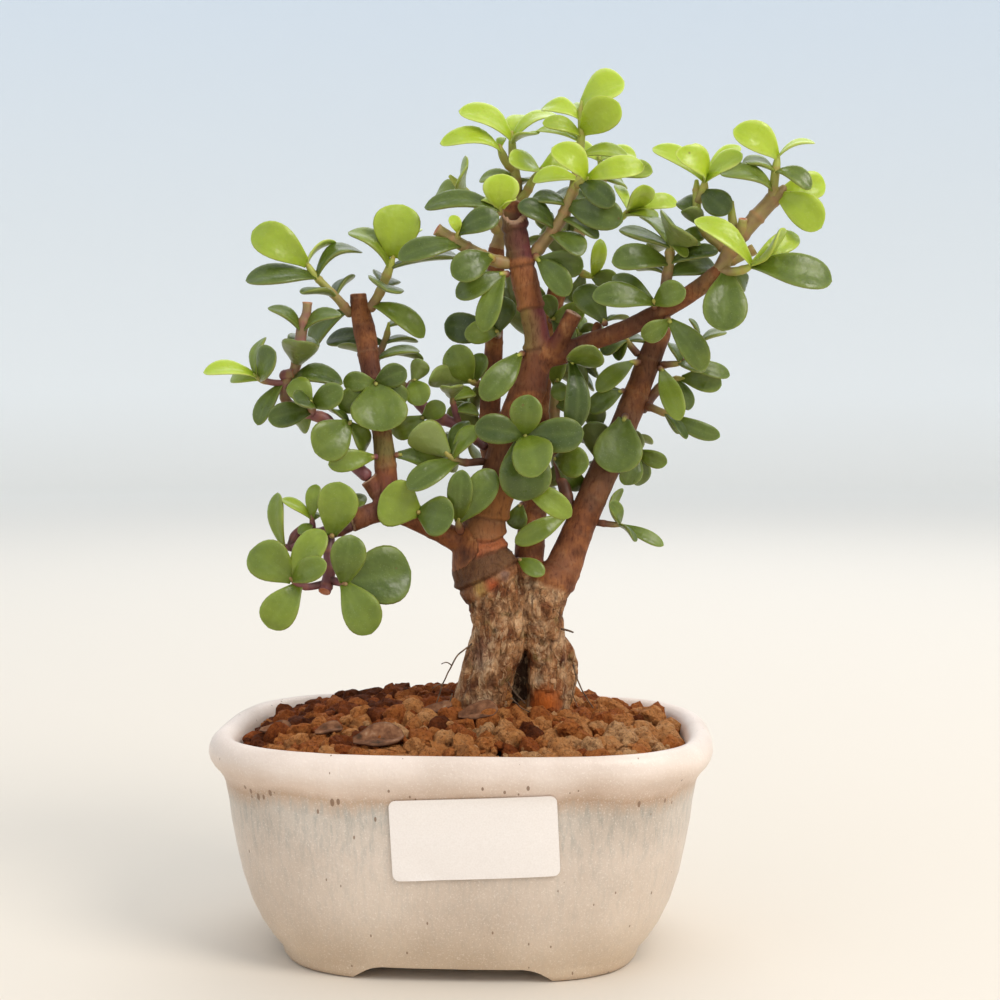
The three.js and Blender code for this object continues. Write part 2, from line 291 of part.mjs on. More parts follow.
  ['arch_end', [[66, 172.5, -3.5, 1.4], [61, 176.3, -1, 1.3], [58, 180.5, 0, 1.2], [57.8, 190, 0, 1.1]],
    [[0.45, 55, 182.9, -5, 5, 0.4], [0.62, 54, 185.6, 4, 5.5, 0.6]]],
  ['arch_end', [[58.3, 185.3, -0.4, 1.2], [59.8, 188.3, -1.5, 1.2], [59.8, 190.8, -2, 1]],
    [[1, 53, 197.3, -9, 6.5, 0.6, 0.25], [1, 46.8, 197.7, 1, 6, 0.4, 0.15],
    [1, 69, 196.7, -6, 6.5, 0.4, 0.1], [1, 68.2, 198.8, 3, 5, 0.3, 0.1], [1, 57.5, 199.4, 4, 3.5, 0.6],
    [0.4, 65.8, 182.3, -6, 6.8, 0.9]]],
  ['arch_end', [[64.8, 167.6, -5.4, 1.3], [68, 167.8, -7.5, 1.2], [70.8, 168.6, -8.5, 1],
    [72.3, 170, -9, 0.9]], [[0.95, 57.6, 180.7, -9, 7, 0.45, 0.15], [0.95, 91.5, 165.5, -11, 9, 0.5],
    [1, 83, 176.5, -4, 6, 0.3], [1, 78.5, 178.6, -16, 10, 0.3],
    [0.1, 64.5, 152.9, -11, 11.8, 0.95, 0.05], [0.3, 70, 163.6, -2, 4, 0.4]]],
  ['arch_end', [[76.6, 186, -4.8, 1.3], [77.2, 191.5, -5, 1.2], [77.9, 196.6, -5, 1]],
    [[1, 67, 202.7, -9, 8, 0.75, 0.2], [1, 87.2, 198.7, -6, 5, 0.2, 0.2],
    [0.6, 69.2, 194.7, -6, 5.5, 0.35, 0.15], [0.6, 86, 188.4, -11, 5.5, 0.5, 0.2],
    [0.15, 63.7, 192, -7, 6.5, 0.5, 0.25]]],
];

// How far each shoot is set back from the plane it was read in, to where its limb really runs
const leans = {
  left_crown_outer: 8, left_crown_inner: 8, left_branch: -9, stub_front: 1, stub_behind: 2.5,
  stub_leaf_left: -2.5, stub_leaf_right: -2.5, centre_left: 3.8, centre_behind: 5.6, top_centre: 7,
  low_front_left: -2.5, low_left_branch: -7.5, limb_leaf_low: 3.8, limb_low_right: 1.5, limb_mid_right: 5.5,
  limb_round: 7, limb_right_low: 7, limb_left_dark: 7.5, limb_leaf_right: 8.5, limb_leaf_left: 8.5,
  limb_right_high: 8.5, arch_behind: 9, arch_root: -2.5, arch_low: -6, arch_hang: -7, arch_up: -7,
  arch_end: -11.5, back_stem_leaf: 1.6, back_centre: 8.2, back_top: 9,
};

// Inner shoots, behind what the picture shows: node, stem path, and [pairs of leaves, reach of a
// leaf, its width, turn of the lowest pair in degrees]
const innerShoots = [
  ['back_low', [[18.3, 112, 11.6, 1.5], [21.5, 115.5, 15, 1.3], [25.5, 119.5, 18, 1]], [2, 11, 7.5, 20]],
  ['back_left', [[6.6, 127, 10.4, 1.5], [3, 130.5, 15.5, 1.3], [0.5, 135, 18, 1]], [2, 11, 7.5, 10]],
  ['back_middle', [[8, 157, 14.8, 1.5], [11.5, 157.5, 19, 1.3], [14.5, 161, 21, 1]], [2, 11, 8, 35]],
  ['back_bough', [[19.6, 142, 20, 1.5], [24.5, 143, 22.5, 1.3], [30, 144.5, 22, 1]], [2, 11, 8, 15]],
  ['back_bough', [[24.5, 143, 22.5, 1.2], [27, 148, 23.5, 1.1], [29.5, 153.5, 22.5, 0.9]],
    [2, 10.5, 7.5, 50]],
  ['back_limb', [[34.4, 118, 9.6, 1.5], [34, 122, 15, 1.3], [33, 128, 18.5, 1]], [2, 11.5, 8, 25]],
  ['back_crown', [[25.4, 168.5, 18.8, 1.4], [24, 172.5, 22.5, 1.3], [21.5, 177.5, 24.5, 1]],
    [2, 10.5, 7.5, 20]],
];

// How far a leaf of a pair reaches out and up, in leaf reaches, and how much smaller the top pair is
const pairSpread = 0.87;
const pairRise = 0.5;
const pairTaper = 0.3;

// Leaves fallen on the soil: [root], [tip], width and how far each faces the viewer
const fallen = [
  ['fallen_leaf_large', [-28, 48.6, -28], [-15.2, 50.2, -26], 8.6, 0.45],
  ['fallen_leaf_trunk', [-1.4, 55, -12.5], [8.6, 56.2, -12], 6.5, 0.5],
  ['fallen_leaf_curled', [-10.5, 56.5, -9], [-3, 57.6, -9.5], 4.5, 0.4],
  ['fallen_leaf_left', [-51.4, 51.4, -9], [-43.6, 52, -12], 5, 0.4],
  ['fallen_leaf_middle', [-37.6, 50.8, -18], [-30.6, 52.4, -17], 4.5, 0.4],
];

// A closed geometry as a solid that can be joined and cut
function solid(geometry) {
  geometry.deleteAttribute('normal');
  geometry.deleteAttribute('uv');
  const merged = mergeVertices(geometry, 1e-4);
  const corners = merged.index.array;
  const triangles = [];
  for (let i = 0; i < corners.length; i += 3) {
    const [a, b, c] = corners.slice(i, i + 3);
    if (a !== b && b !== c && c !== a) {
      triangles.push(a, b, c);
    }
  }
  return new wasm.Manifold(new wasm.Mesh({
    numProp: 3,
    vertProperties: new Float32Array(merged.attributes.position.array),
    triVerts: new Uint32Array(triangles),
  }));
}

function joined(solids) {
  return solids.reduce((whole, piece) => whole.add(piece));
}

// Moves every vertex of a geometry by a rule
function warp(geometry, rule) {
  const position = geometry.attributes.position;
  const point = new THREE.Vector3();
  for (let i = 0; i < position.count; i += 1) {
    point.fromBufferAttribute(position, i);
    rule(point);
    position.setXYZ(i, point.x, point.y, point.z);
  }
  return geometry;
}

function seededRandom(seed) {
  let state = seed;
  return () => {
    state = (state * 16807) % 2147483647;
    return state / 2147483647;
  };
}

// Pot outline: a rectangle with round corners and slightly bowed sides, for any half length
function halfWidth(halfLength) {
  return baseHalfWidth + (halfLength - baseHalfLength) * widthGain;
}

function squareUp(point) {
  const radius = Math.hypot(point.x, point.y);
  if (radius === 0) {
    return;
  }
  const along = point.x / radius;
  const across = point.y / radius;
  const reach = (Math.abs(along) ** cornerPower + Math.abs(across) ** cornerPower) ** (-1 / cornerPower);
  point.x = along * reach * radius;
  point.y = across * reach * Math.min(halfWidth(radius), radius);
}

// Lathe profile of [half length, height] points turned about Z and squared up to the pot outline
function potRing(profile, segments) {
  const points = profile.map(([length, up]) => new THREE.Vector2(length, up));
  const geometry = new THREE.LatheGeometry(points, segments);
  geometry.rotateX(Math.PI / 2);
  return warp(geometry, squareUp);
}

function block(size, centre) {
  const geometry = new THREE.BoxGeometry(...size);
  geometry.translate(...centre);
  return solid(geometry);
}

// Half length of the outer wall at a height
function wallLength(height) {
  const next = Math.max(1, wallProfile.findIndex(([, up]) => up >= height));
  const [lowLength, low] = wallProfile[next - 1];
  const [highLength, high] = wallProfile[next];
  return lowLength + ((highLength - lowLength) * (height - low)) / (high - low);
}

function buildPot() {
  const innerWall = wallProfile.slice(1).reverse().map(([length, up]) => [length - wallThickness, up]);
  const innerFloor = wallLength(floorTop) - wallThickness;
  const shell = solid(potRing([
    [0, footHeight], [footLength, footHeight], ...wallProfile, ...lipProfile,
    ...innerWall, [innerFloor, floorTop], [0, floorTop],
  ], potSegments));
  const feet = solid(potRing(footProfile, footSegments))
    .subtract(block([footGapAlong, 4 * baseHalfWidth, 2 * footHeight], [0, 0, 0]))
    .subtract(block([4 * baseHalfLength, footGapAcross, 2 * footHeight], [0, 0, 0]));
  let pot = shell.add(feet);
  for (const side of [-1, 1]) {
    const drain = new THREE.CylinderGeometry(drainRadius, drainRadius, 2 * floorTop, drainSides);
    drain.rotateX(Math.PI / 2);
    drain.translate((side * drainSpacing) / 2, 0, footHeight);
    pot = pot.subtract(solid(drain));
  }
  return pot;
}

function buildDrainageMesh() {
  return block(meshSize, [0, 0, floorTop + gap + meshSize[2] / 2]);
}

// The label follows the slope and the bow of the wall
function buildLabel() {
  const [width, height] = labelSize;
  const sheet = new THREE.BoxGeometry(width, labelThickness, height, ...labelSteps);
  return solid(warp(sheet, (point) => {
    const across = point.x * Math.cos(labelTurn) - point.z * Math.sin(labelTurn);
    const up = point.x * Math.sin(labelTurn) + point.z * Math.cos(labelTurn);
    const x = labelCentre[0] + across;
    const z = labelCentre[1] + up;
    const length = wallLength(z);
    const bow = (1 - (Math.abs(x) / length) ** cornerPower) ** (1 / cornerPower);
    point.set(x, -halfWidth(length) * bow - gap - labelThickness / 2 + point.y, z);
  }));
}

// The viewer's places turned into the part's own frame
function placed(across, up, depth) {
  const scale = 1 + depth / viewDistance;
  const x = viewAcross + (across - viewAcross) * scale;
  const z = viewUp + (up - viewUp) * scale;
  return new THREE.Vector3(x, depth, z).applyAxisAngle(new THREE.Vector3(0, 0, 1), viewTurn);
}

const viewer = placed(viewAcross, viewUp, -viewDistance);

// A round tube along a path, each ring square to the path there
function tube(path, sides, growth) {
  const centres = path.map(([across, up, depth]) => placed(across, up, depth));
  const last = centres.length - 1;
  const tangents = centres.map((centre, i) => (
    centres[Math.min(i + 1, last)].clone().sub(centres[Math.max(i - 1, 0)]).normalize()
  ));
  let normal = ringStart;
  const frames = tangents.map((tangent) => {
    normal = normal.clone().addScaledVector(tangent, -normal.dot(tangent)).normalize();
    return [normal, new THREE.Vector3().crossVectors(normal, tangent)];
  });
  const geometry = new THREE.CylinderGeometry(1, 1, last, sides, last);
  return solid(warp(geometry, (point) => {
    const i = Math.round(last / 2 + point.y);
    const radius = path[i][3] + growth;
    const [side, front] = frames[i];
    const { x, z } = point;
    point.copy(centres[i]).addScaledVector(side, x * radius).addScaledVector(front, z * radius);
    if (i === 0) {
      point.addScaledVector(tangents[i], -growth);
    } else if (i === last) {
      point.addScaledVector(tangents[i], growth);
    }
  }));
}

// Point and direction at a share of the way along a stem
function along(path, share) {
  const centres = path.map(([across, up, depth]) => placed(across, up, depth));
  const spans = centres.slice(1).map((centre, i) => centre.distanceTo(centres[i]));
  const whole = spans.reduce((sum, span) => sum + span, 0);
  let left = Math.min(share * whole, whole - leafRoot);
  let i = 0;
  while (i < spans.length - 1 && left > spans[i]) {
    left -= spans[i];
    i += 1;
  }
  const direction = centres[i + 1].clone().sub(centres[i]).normalize();
  return [centres[i].clone().addScaledVector(direction, left), direction];
}

// A fleshy blade, widest past its middle and keeled behind, arched back along its length and cupped
function blade(root, tip, width, face, bend, growth) {
  const length = root.distanceTo(tip);
  const forward = tip.clone().sub(root).normalize();
  face.addScaledVector(forward, -face.dot(forward)).normalize();
  const side = new THREE.Vector3().crossVectors(face, forward);
  const last = leafStations.length - 1;
  const thinness = Math.min(1, width / thinLeafWidth);
  const geometry = new THREE.CylinderGeometry(1, 1, last, leafSides, last);
  return solid(warp(geometry, (point) => {
    const i = Math.round(last / 2 - point.y);
    const station = leafStations[i];
    const edge = (leafOutline[i] * width + growth) * Math.sign(Math.round(point.x));
    const keel = (leafBody[i] * thinness + growth) * point.z;
    const lift = bend * length * 4 * station * (1 - station) + leafCup * Math.abs(edge) - keel;
    const reach = station * length + (i === 0 ? -growth : 0) + (i === last ? growth : 0);
    point.copy(root).addScaledVector(forward, reach);
    point.addScaledVector(side, -edge).addScaledVector(face, lift);
  }));
}

// A leaf of a shoot: [share of the stem below it, tip across, up and depth, width, facing, bend].
// facing 0 keeps its face to the stem's tip, 1 turns it to the viewer and -1 turns its back
function leaf(path, lean, [share, across, up, depth, width, facing, bend = plainBend]) {
  const [root, face] = along(path, share);
  const toViewer = viewer.clone().sub(root).normalize();
  face.multiplyScalar(1 - Math.abs(facing)).addScaledVector(toViewer, facing);
  return blade(root, placed(across, up, depth + lean), width, face, bend, 0);
}

function fallenLeaf([, root, tip, width, facing], growth) {
  const place = placed(...root);
  const face = viewer.clone().sub(place).normalize().multiplyScalar(facing);
  face.z += 1 - facing;
  return blade(place, placed(...tip), width, face, plainBend, growth);
}

function buildWood(growth) {
  return joined(limbs.map((path) => tube(path, path[0][3] > thickLimb ? thickSides : thinSides, growth)));
}

// Opposite pairs of leaves up a stem, each pair turned a quarter from the one below and smaller
function pairedLeaves(path, [pairs, reach, width, turn]) {
  const blades = [];
  for (let pair = 1; pair <= pairs; pair += 1) {
    const [root, direction] = along(path, pair / pairs);
    const size = 1 - (pairTaper * pair) / pairs;
    const side = ringStart.clone();
    side.addScaledVector(direction, -side.dot(direction)).normalize();
    side.applyAxisAngle(direction, THREE.MathUtils.degToRad(turn + 90 * (pair - 1)));
    for (const half of [-1, 1]) {
      const tip = root.clone().addScaledVector(direction, pairRise * reach * size);
      tip.addScaledVector(side, half * pairSpread * reach * size);
      blades.push(blade(root, tip, width * size, direction.clone(), plainBend, 0));
    }
  }
  return blades;
}

function buildInnerShoot(name, clearance) {
  const stems = innerShoots.filter(([node]) => node === name);
  const pieces = stems.flatMap(([, path, pairs]) => [tube(path, stemSides, 0), ...pairedLeaves(path, pairs)]);
  return joined(pieces).subtract(clearance);
}

// Every stem of one node with its leaves, joined, and cut clear of the wood it grows on
function buildShoot(name, clearance) {
  const lean = leans[name] ?? 0;
  const stems = shoots.filter(([node]) => node === name);
  const pieces = stems.flatMap(([, stem, leaves]) => {
    const path = stem.map(([across, up, depth, radius]) => [across, up, depth + lean, radius]);
    return [tube(path, stemSides, 0), ...leaves.map((row) => leaf(path, lean, row))];
  });
  return joined(pieces).subtract(clearance);
}

function soilHeight(x, y) {
  const along = Math.max(0, 1 - (x / moundReach[0]) ** 2);
  const across = Math.max(0, 1 - ((y - moundBack) / moundReach[1]) ** 2);
  return soilLevel + moundRise * along * across;
}

// The mound filling the pot, with grains of baked clay half sunk in its top
function buildSoil(holes) {
  const floor = floorTop + meshSize[2] + 2 * gap;
  const inset = wallThickness + gap;
  const wall = wallProfile.slice(1).map(([length, up]) => [length - inset, up]);
  const edge = wall.at(-1)[0];
  const top = moundRings.map((share) => [share * edge, soilLevel]);
  const mound = potRing([[0, floor], [wallLength(floor) - inset, floor], ...wall, ...top], potSegments);
  warp(mound, (point) => {
    if (point.z > soilLevel - 1e-3) {
      const lump = lumpWaves.reduce((sum, [a, b]) => sum + Math.sin(a * point.x + b * point.y), 0);
      point.z = soilHeight(point.x, point.y) + lumpHeight * lump;
    }
  });
  const random = seededRandom(grainSeed);
  const grains = [];
  for (let row = 0; row < grainRows; row += 1) {
    for (let column = 0; column < grainColumns; column += 1) {
      const u = (2 * (column + 0.25 + 0.5 * random())) / grainColumns - 1;
      const v = (2 * (row + 0.25 + 0.5 * random())) / grainRows - 1;
      const radius = grainSizes[0] + (grainSizes[1] - grainSizes[0]) * random();
      const x = u * (edge - radius);
      const bow = (1 - Math.abs(u) ** cornerPower) ** (1 / cornerPower);
      const y = v * bow * (halfWidth(edge) - radius);
      const grain = new THREE.IcosahedronGeometry(radius, 0);
      grain.rotateX(3 * random()).rotateZ(3 * random());
      grain.scale(1, 1, grainFlatness);
      grain.translate(x, y, soilHeight(x, y) + grainLift * radius);
      grains.push(solid(grain));
    }
  }
  return holes.reduce((soil, hole) => soil.subtract(hole), joined([solid(mound), ...grains]));
}

function meshed(name, piece, colour, roughness) {
  const { vertProperties, triVerts } = piece.getMesh();
  const geometry = new THREE.BufferGeometry();
  geometry.setAttribute('position', new THREE.BufferAttribute(vertProperties, 3));
  geometry.setIndex(new THREE.BufferAttribute(triVerts, 1));
  geometry.computeVertexNormals();
  const material = new THREE.MeshStandardMaterial({ color: colour, roughness, metalness: 0 });
  const mesh = new THREE.Mesh(geometry, material);
  mesh.name = name;
  return mesh;
}

const glaze = 0xe3d6c3;
const clay = 0x8a4f2c;
const paper = 0xf6f1ee;
const bark = 0x8b6a4e;
const leafGreen = 0x6f9a3c;
const deadLeaf = 0x9a8f7c;
const plastic = 0x3a3a38;

const clearance = buildWood(gap);
const fallenHoles = fallen.map((row) => fallenLeaf(row, fallenGap));

const vessel = new THREE.Group();
vessel.name = 'vessel';
vessel.add(meshed('pot', buildPot(), glaze, 0.35));
vessel.add(meshed('drainage_mesh', buildDrainageMesh(), plastic, 0.6));
vessel.add(meshed('label', buildLabel(), paper, 0.6));
vessel.add(meshed('soil', buildSoil([clearance, ...fallenHoles]), clay, 0.95));
for (const row of fallen) {
  vessel.add(meshed(row[0], fallenLeaf(row, 0).subtract(clearance), deadLeaf, 0.8));
}

const tree = new THREE.Group();
tree.name = 'tree';
tree.add(meshed('wood', buildWood(0), bark, 0.85));
for (const name of new Set(shoots.map(([node]) => node))) {
  tree.add(meshed(name, buildShoot(name, clearance), leafGreen, 0.4));
}
for (const name of new Set(innerShoots.map(([node]) => node))) {
  tree.add(meshed(name, buildInnerShoot(name, clearance), leafGreen, 0.4));
}

// The origin is the middle of the part's footprint, at the underside of the pot's feet
const plant = new THREE.Group();
plant.name = 'plant';
plant.add(vessel, tree);
const bounds = new THREE.Box3().setFromObject(plant);
const middle = bounds.getCenter(new THREE.Vector3());
plant.position.set(-middle.x, -middle.y, -bounds.min.z);

const bonsai = new THREE.Group();
bonsai.name = 'potted_dwarf_jade';
bonsai.add(plant);

export default bonsai;
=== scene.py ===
"""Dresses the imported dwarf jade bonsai: glazed pot, baked clay soil, barked limbs and fleshy leaves."""

import math
import random

import bmesh
import bpy
import numpy as np
from mathutils import Euler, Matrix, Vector
from mathutils.kdtree import KDTree


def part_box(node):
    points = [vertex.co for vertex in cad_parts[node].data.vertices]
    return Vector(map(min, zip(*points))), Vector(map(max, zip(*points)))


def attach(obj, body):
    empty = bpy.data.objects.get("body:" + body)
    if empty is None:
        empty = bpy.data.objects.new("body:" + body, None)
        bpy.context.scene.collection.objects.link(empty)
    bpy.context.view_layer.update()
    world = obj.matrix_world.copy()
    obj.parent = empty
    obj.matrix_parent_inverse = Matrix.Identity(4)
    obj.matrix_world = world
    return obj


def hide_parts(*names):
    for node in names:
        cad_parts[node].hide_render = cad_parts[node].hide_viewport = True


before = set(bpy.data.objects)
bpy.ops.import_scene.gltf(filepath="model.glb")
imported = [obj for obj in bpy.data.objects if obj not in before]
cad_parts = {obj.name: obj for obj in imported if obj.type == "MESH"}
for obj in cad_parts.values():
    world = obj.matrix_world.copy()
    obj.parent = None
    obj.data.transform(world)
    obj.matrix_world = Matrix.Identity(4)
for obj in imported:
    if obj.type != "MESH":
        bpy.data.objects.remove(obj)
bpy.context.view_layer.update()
MM = 0.001
pot_low, pot_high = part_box("pot")
pot_middle = np.array([(pot_low[0] + pot_high[0]) / 2, (pot_low[1] + pot_high[1]) / 2, 0]) / MM


# The viewpoint. The tree is written as it is seen from in front of the pot: each place is
# [across, up, depth] in mm, where across and up are read at the trunk and depth runs away
# from the viewer. The pot stands turned a few degrees, with its right end nearer.
VIEW_ACROSS = 9.1
VIEW_UP = 134
VIEW_DISTANCE = 412.5
VIEW_TURN = math.radians(3.5)
VIEW_TILT = math.radians(3.2)
LENS = 59.4
SENSOR_WIDTH = 36


def placed(across, up, depth):
    """The point in mm of a place that is written as it is seen."""
    scale = 1 + depth / VIEW_DISTANCE
    x = VIEW_ACROSS + (across - VIEW_ACROSS) * scale
    z = VIEW_UP + (up - VIEW_UP) * scale
    turned_x = x * math.cos(VIEW_TURN) - depth * math.sin(VIEW_TURN)
    turned_y = x * math.sin(VIEW_TURN) + depth * math.cos(VIEW_TURN)
    return np.array([turned_x, turned_y, z]) + pot_middle


viewer = placed(VIEW_ACROSS, VIEW_UP, -VIEW_DISTANCE)
camera_data = bpy.data.cameras.new("camera")
camera_data.lens = LENS
camera_data.sensor_width = SENSOR_WIDTH
camera = bpy.data.objects.new("camera", camera_data)
camera.location = Vector(viewer) * MM
camera.rotation_euler = Euler((math.pi / 2 - VIEW_TILT, 0, VIEW_TURN))
bpy.context.scene.collection.objects.link(camera)
bpy.context.scene.camera = camera


# The pot: an oblong stoneware bowl with round corners, a rolled lip and four corner feet,
# slip-cast or pressed, then dipped in a cream glaze that runs thin at the edges. The foot
# ring is cut away between the feet, and two drain holes go through the floor.
WALL = [[45.4, 4], [47.2, 6.2], [49.7, 10], [52, 15], [54.1, 21.5], [55.5, 28], [56.6, 34], [57.2, 39],
        [57.8, 42.2]]
LIP = [[58, 43.6], [58.6, 45.2], [59.6, 46.6], [60.8, 47.9], [61.6, 49.2], [62, 50.6], [61.9, 52],
       [61.3, 53.4], [60.3, 54.4], [59, 55], [57.7, 54.9], [56.6, 54.2], [55.7, 53], [55.2, 51]]
INNER = [[55, 47], [53.8, 31], [50.9, 19], [45.7, 10.4], [43.6, 8.8], [41, 8.5]]
FOOT = [[33.2, 4], [33.9, 3.3], [34.2, 0.6], [34.9, 0], [42.2, 0], [43.6, 0.5], [44.4, 1.6], [44.6, 2.8]]
POT_SIDES = 160
BASE_HALF = (41, 33)
WIDTH_GAIN = 0.52
CORNER_POWER = 3.2
FOOT_GAP_HALVES = (18, 13)
FOOT_GAP_ARCH = [[6.4, -2], [5.8, 0.1], [4.3, 1.3], [2.5, 2.4], [0.7, 3.1], [-1.4, 3.5]]
CUTTER_REACH = 80
DRAINS = [(-17, 5), (17, 5)]
DRAIN_CUT = (-2, 12)
EDGE_ROUNDING = 0.7


def unevenness(points, spacing, seed):
    """Smooth random values from -1 to 1 at points in mm, changing over about the spacing.

    The long numbers only mix the bits of each grid cell's place into one random value."""
    grid = np.asarray(points, float) / spacing
    cell = np.floor(grid).astype(np.int64)
    share = grid - cell
    share = share * share * (3 - 2 * share)
    total = np.zeros(len(grid))
    for corner in range(8):
        step = np.array([corner & 1, corner >> 1 & 1, corner >> 2 & 1])
        key = (cell + step) @ np.array([73856093, 19349663, 83492791]) + seed * 5915587277
        key = (key ^ (key >> 13)) * 1274126177 & 0x7FFFFFFF
        key = (key ^ (key >> 15)) * 2246822519 & 0x7FFFFFFF
        total += np.where(step, share, 1 - share).prod(axis=1) * (key / 0x7FFFFFFF)
    return 2 * total - 1


def half_width(half_length):
    """The pot is a little less than twice as long as it is wide, more so at the lip."""
    return BASE_HALF[1] + (half_length - BASE_HALF[0]) * WIDTH_GAIN


def between(rings, around, order=(0, 1, 2, 3)):
    """Faces between each ring of points and the next, with their corners in an order."""
    index = np.arange(around)
    after = (index + 1) % around
    low = around * np.arange(rings - 1)[:, None]
    corners = [low + index, low + after, low + around + after, low + around + index]
    return np.stack([corners[i] for i in order], axis=-1).reshape(-1, 4).tolist()


def pot_rings(profile, around):
    """Rings of the pot's outline for [half length, height] rows, as points in mm and faces."""
    turn = np.linspace(0, 2 * math.pi, around, endpoint=False)
    along, across = np.cos(turn), np.sin(turn)
    reach = (abs(along) ** CORNER_POWER + abs(across) ** CORNER_POWER) ** (-1 / CORNER_POWER)
    points = np.concatenate([
        np.stack([along * reach * a, across * reach * min(half_width(a), a), np.full(around, z)], axis=1)
        for a, z in profile])
    ends = [list(range(around))[::-1], list(range(len(points) - around, len(points)))]
    return points + pot_middle, between(len(profile), around) + ends


def piece(name, points, faces, material, smooth=True):
    """A mesh object from points in mm."""
    mesh = bpy.data.meshes.new(name)
    mesh.from_pydata((np.asarray(points) * MM).tolist(), [], faces)
    mesh.validate()
    if smooth:
        mesh.shade_smooth()
    mesh.materials.append(material)
    made = bpy.data.objects.new(name, mesh)
    bpy.context.scene.collection.objects.link(made)
    return made


def positions(mesh):
    points = np.empty(3 * len(mesh.vertices))
    mesh.vertices.foreach_get("co", points)
    return points.reshape(-1, 3) / MM


def set_positions(mesh, points):
    mesh.vertices.foreach_set("co", (points * MM).ravel())
    mesh.update()


def push(mesh, distance):
    """Moves each vertex along its normal by a distance in mm."""
    normals = np.empty(3 * len(mesh.vertices))
    mesh.vertices.foreach_get("normal", normals)
    set_positions(mesh, positions(mesh) + normals.reshape(-1, 3) * distance[:, None])


def settle(made):
    """Replaces an object's mesh with what its modifiers make of it."""
    graph = bpy.context.evaluated_depsgraph_get()
    mesh = bpy.data.meshes.new_from_object(made.evaluated_get(graph))
    old = made.data
    made.modifiers.clear()
    made.data = mesh
    bpy.data.meshes.remove(old)
    return mesh


def colour(code):
    """sRGB hex to the linear colour that shaders take."""
    parts = [int(code[i:i + 2], 16) / 255 for i in (0, 2, 4)]
    return [p / 12.92 if p <= 0.04045 else ((p + 0.055) / 1.055) ** 2.4 for p in parts] + [1]


def new_material(name, base, roughness, **settings):
    """A material with its shader's plain values set, and its node tree and shader."""
    material = bpy.data.materials.new(name)
    material.use_nodes = True
    shader = material.node_tree.nodes["Principled BSDF"]
    shader.inputs["Base Color"].default_value = colour(base)
    shader.inputs["Roughness"].default_value = roughness
    for socket, value in settings.items():
        shader.inputs[socket.replace("_", " ")].default_value = value
    return material, material.node_tree, shader


def add(tree, kind, settings=None, links=None):
    """Adds a shader node with its settings, socket values and links.

    A link is a node, for its first output, or (node, output). "stops" gives a colour ramp's
    (place, hex) rows, and a hex sets a colour socket."""
    node = tree.nodes.new("ShaderNode" + kind)
    settings = dict(settings or {})
    stops = settings.pop("stops", [])
    for _ in stops[2:]:
        node.color_ramp.elements.new(0.5)
    for i, (position, code) in enumerate(stops):
        node.color_ramp.elements[i].position = position
        node.color_ramp.elements[i].color = colour(code)
    for key, value in settings.items():
        if isinstance(key, str) and hasattr(node, key):
            setattr(node, key, value)
        else:
            node.inputs[key].default_value = colour(value) if isinstance(value, str) else value
    for key, link in (links or {}).items():
        source, output = link if isinstance(link, tuple) else (link, 0)
        tree.links.new(source.outputs[output], node.inputs[key])
    return node


# Cream stoneware glaze, fired: a satin, slightly speckled coat. It breaks warm on the lip,
# pools bluish grey in runs 1.25 mm wide under it, and iron in the clay burns through as brown
# specks of up to 0.6 mm. A pattern's scale is one over its size in mm.
glaze, tree, shader = new_material("stoneware glaze", "e0cab6", 0.42, Coat_Weight=0.2, Coat_Roughness=0.3)
place = (add(tree, "TexCoord"), "Object")
height = add(tree, "SeparateXYZ", links={0: place})
wobble = add(tree, "TexNoise", {"Scale": 1 / (14.29 * MM), "Detail": 4}, {"Vector": place})
level = add(tree, "Math", {"operation": "MULTIPLY_ADD", 1: 0.006}, {0: wobble, 2: (height, 2)})
zone = add(tree, "MapRange", {"From Max": 0.062}, {"Value": level})
# The darker warm band just under the lip, c6a78c, is painted shade under the rolled lip
coat = add(tree, "ValToRGB", {"stops": [
    (0, "cbad8c"), (0.1, "d6bfa4"), (0.3, "dac7b4"), (0.55, "dac9b9"), (0.7, "d0c3b5"), (0.765, "c6a78c"),
    (0.8, "e4ccb9"), (0.87, "f2e1d4")]}, {0: zone})
stretch = add(tree, "Mapping", {"Scale": (1, 1, 0.2)}, {"Vector": place})
runs = add(tree, "TexNoise", {"Scale": 1 / (1.25 * MM), "Detail": 6, "Roughness": 0.72},
           {"Vector": stretch})
run_share = add(tree, "MapRange", {"From Min": 0.46, "From Max": 0.64, "To Max": 0.75}, {"Value": runs})
under_lip = add(tree, "ValToRGB", {"stops": [
    (0, "484848"), (0.3, "808080"), (0.5, "a4a4a4"), (0.72, "ffffff"), (0.78, "606060"),
    (0.81, "000000")]}, {0: zone})
run_mask = add(tree, "Math", {"operation": "MULTIPLY"}, {0: run_share, 1: under_lip})
run_coat = add(tree, "Mix", {"data_type": "RGBA", 7: "aba79e"}, {0: run_mask, 6: coat})
cloud = add(tree, "TexNoise", {"Scale": 1 / (25 * MM), "Detail": 5}, {"Vector": place})
cloud_tone = add(tree, "ValToRGB", {"stops": [(0.3, "dbd4cd"), (0.7, "ffffff")]}, {0: cloud})
clouded = add(tree, "Mix", {"data_type": "RGBA", "blend_type": "MULTIPLY", 0: 0.8},
              {6: (run_coat, 2), 7: cloud_tone})
frost = add(tree, "TexNoise", {"Scale": 1 / (0.3846 * MM), "Detail": 2, "Roughness": 0.6},
            {"Vector": place})
frost_share = add(tree, "MapRange", {"From Min": 0.56, "From Max": 0.7, "To Max": 0.34}, {"Value": frost})
frosted = add(tree, "Mix", {"data_type": "RGBA", 7: "fbf1e6"}, {0: frost_share, 6: (clouded, 2)})
drip = add(tree, "Mapping", {"Scale": (1, 1, 0.5)}, {"Vector": place})
specks = add(tree, "TexVoronoi", {"Scale": 1 / (1.667 * MM)}, {"Vector": drip})
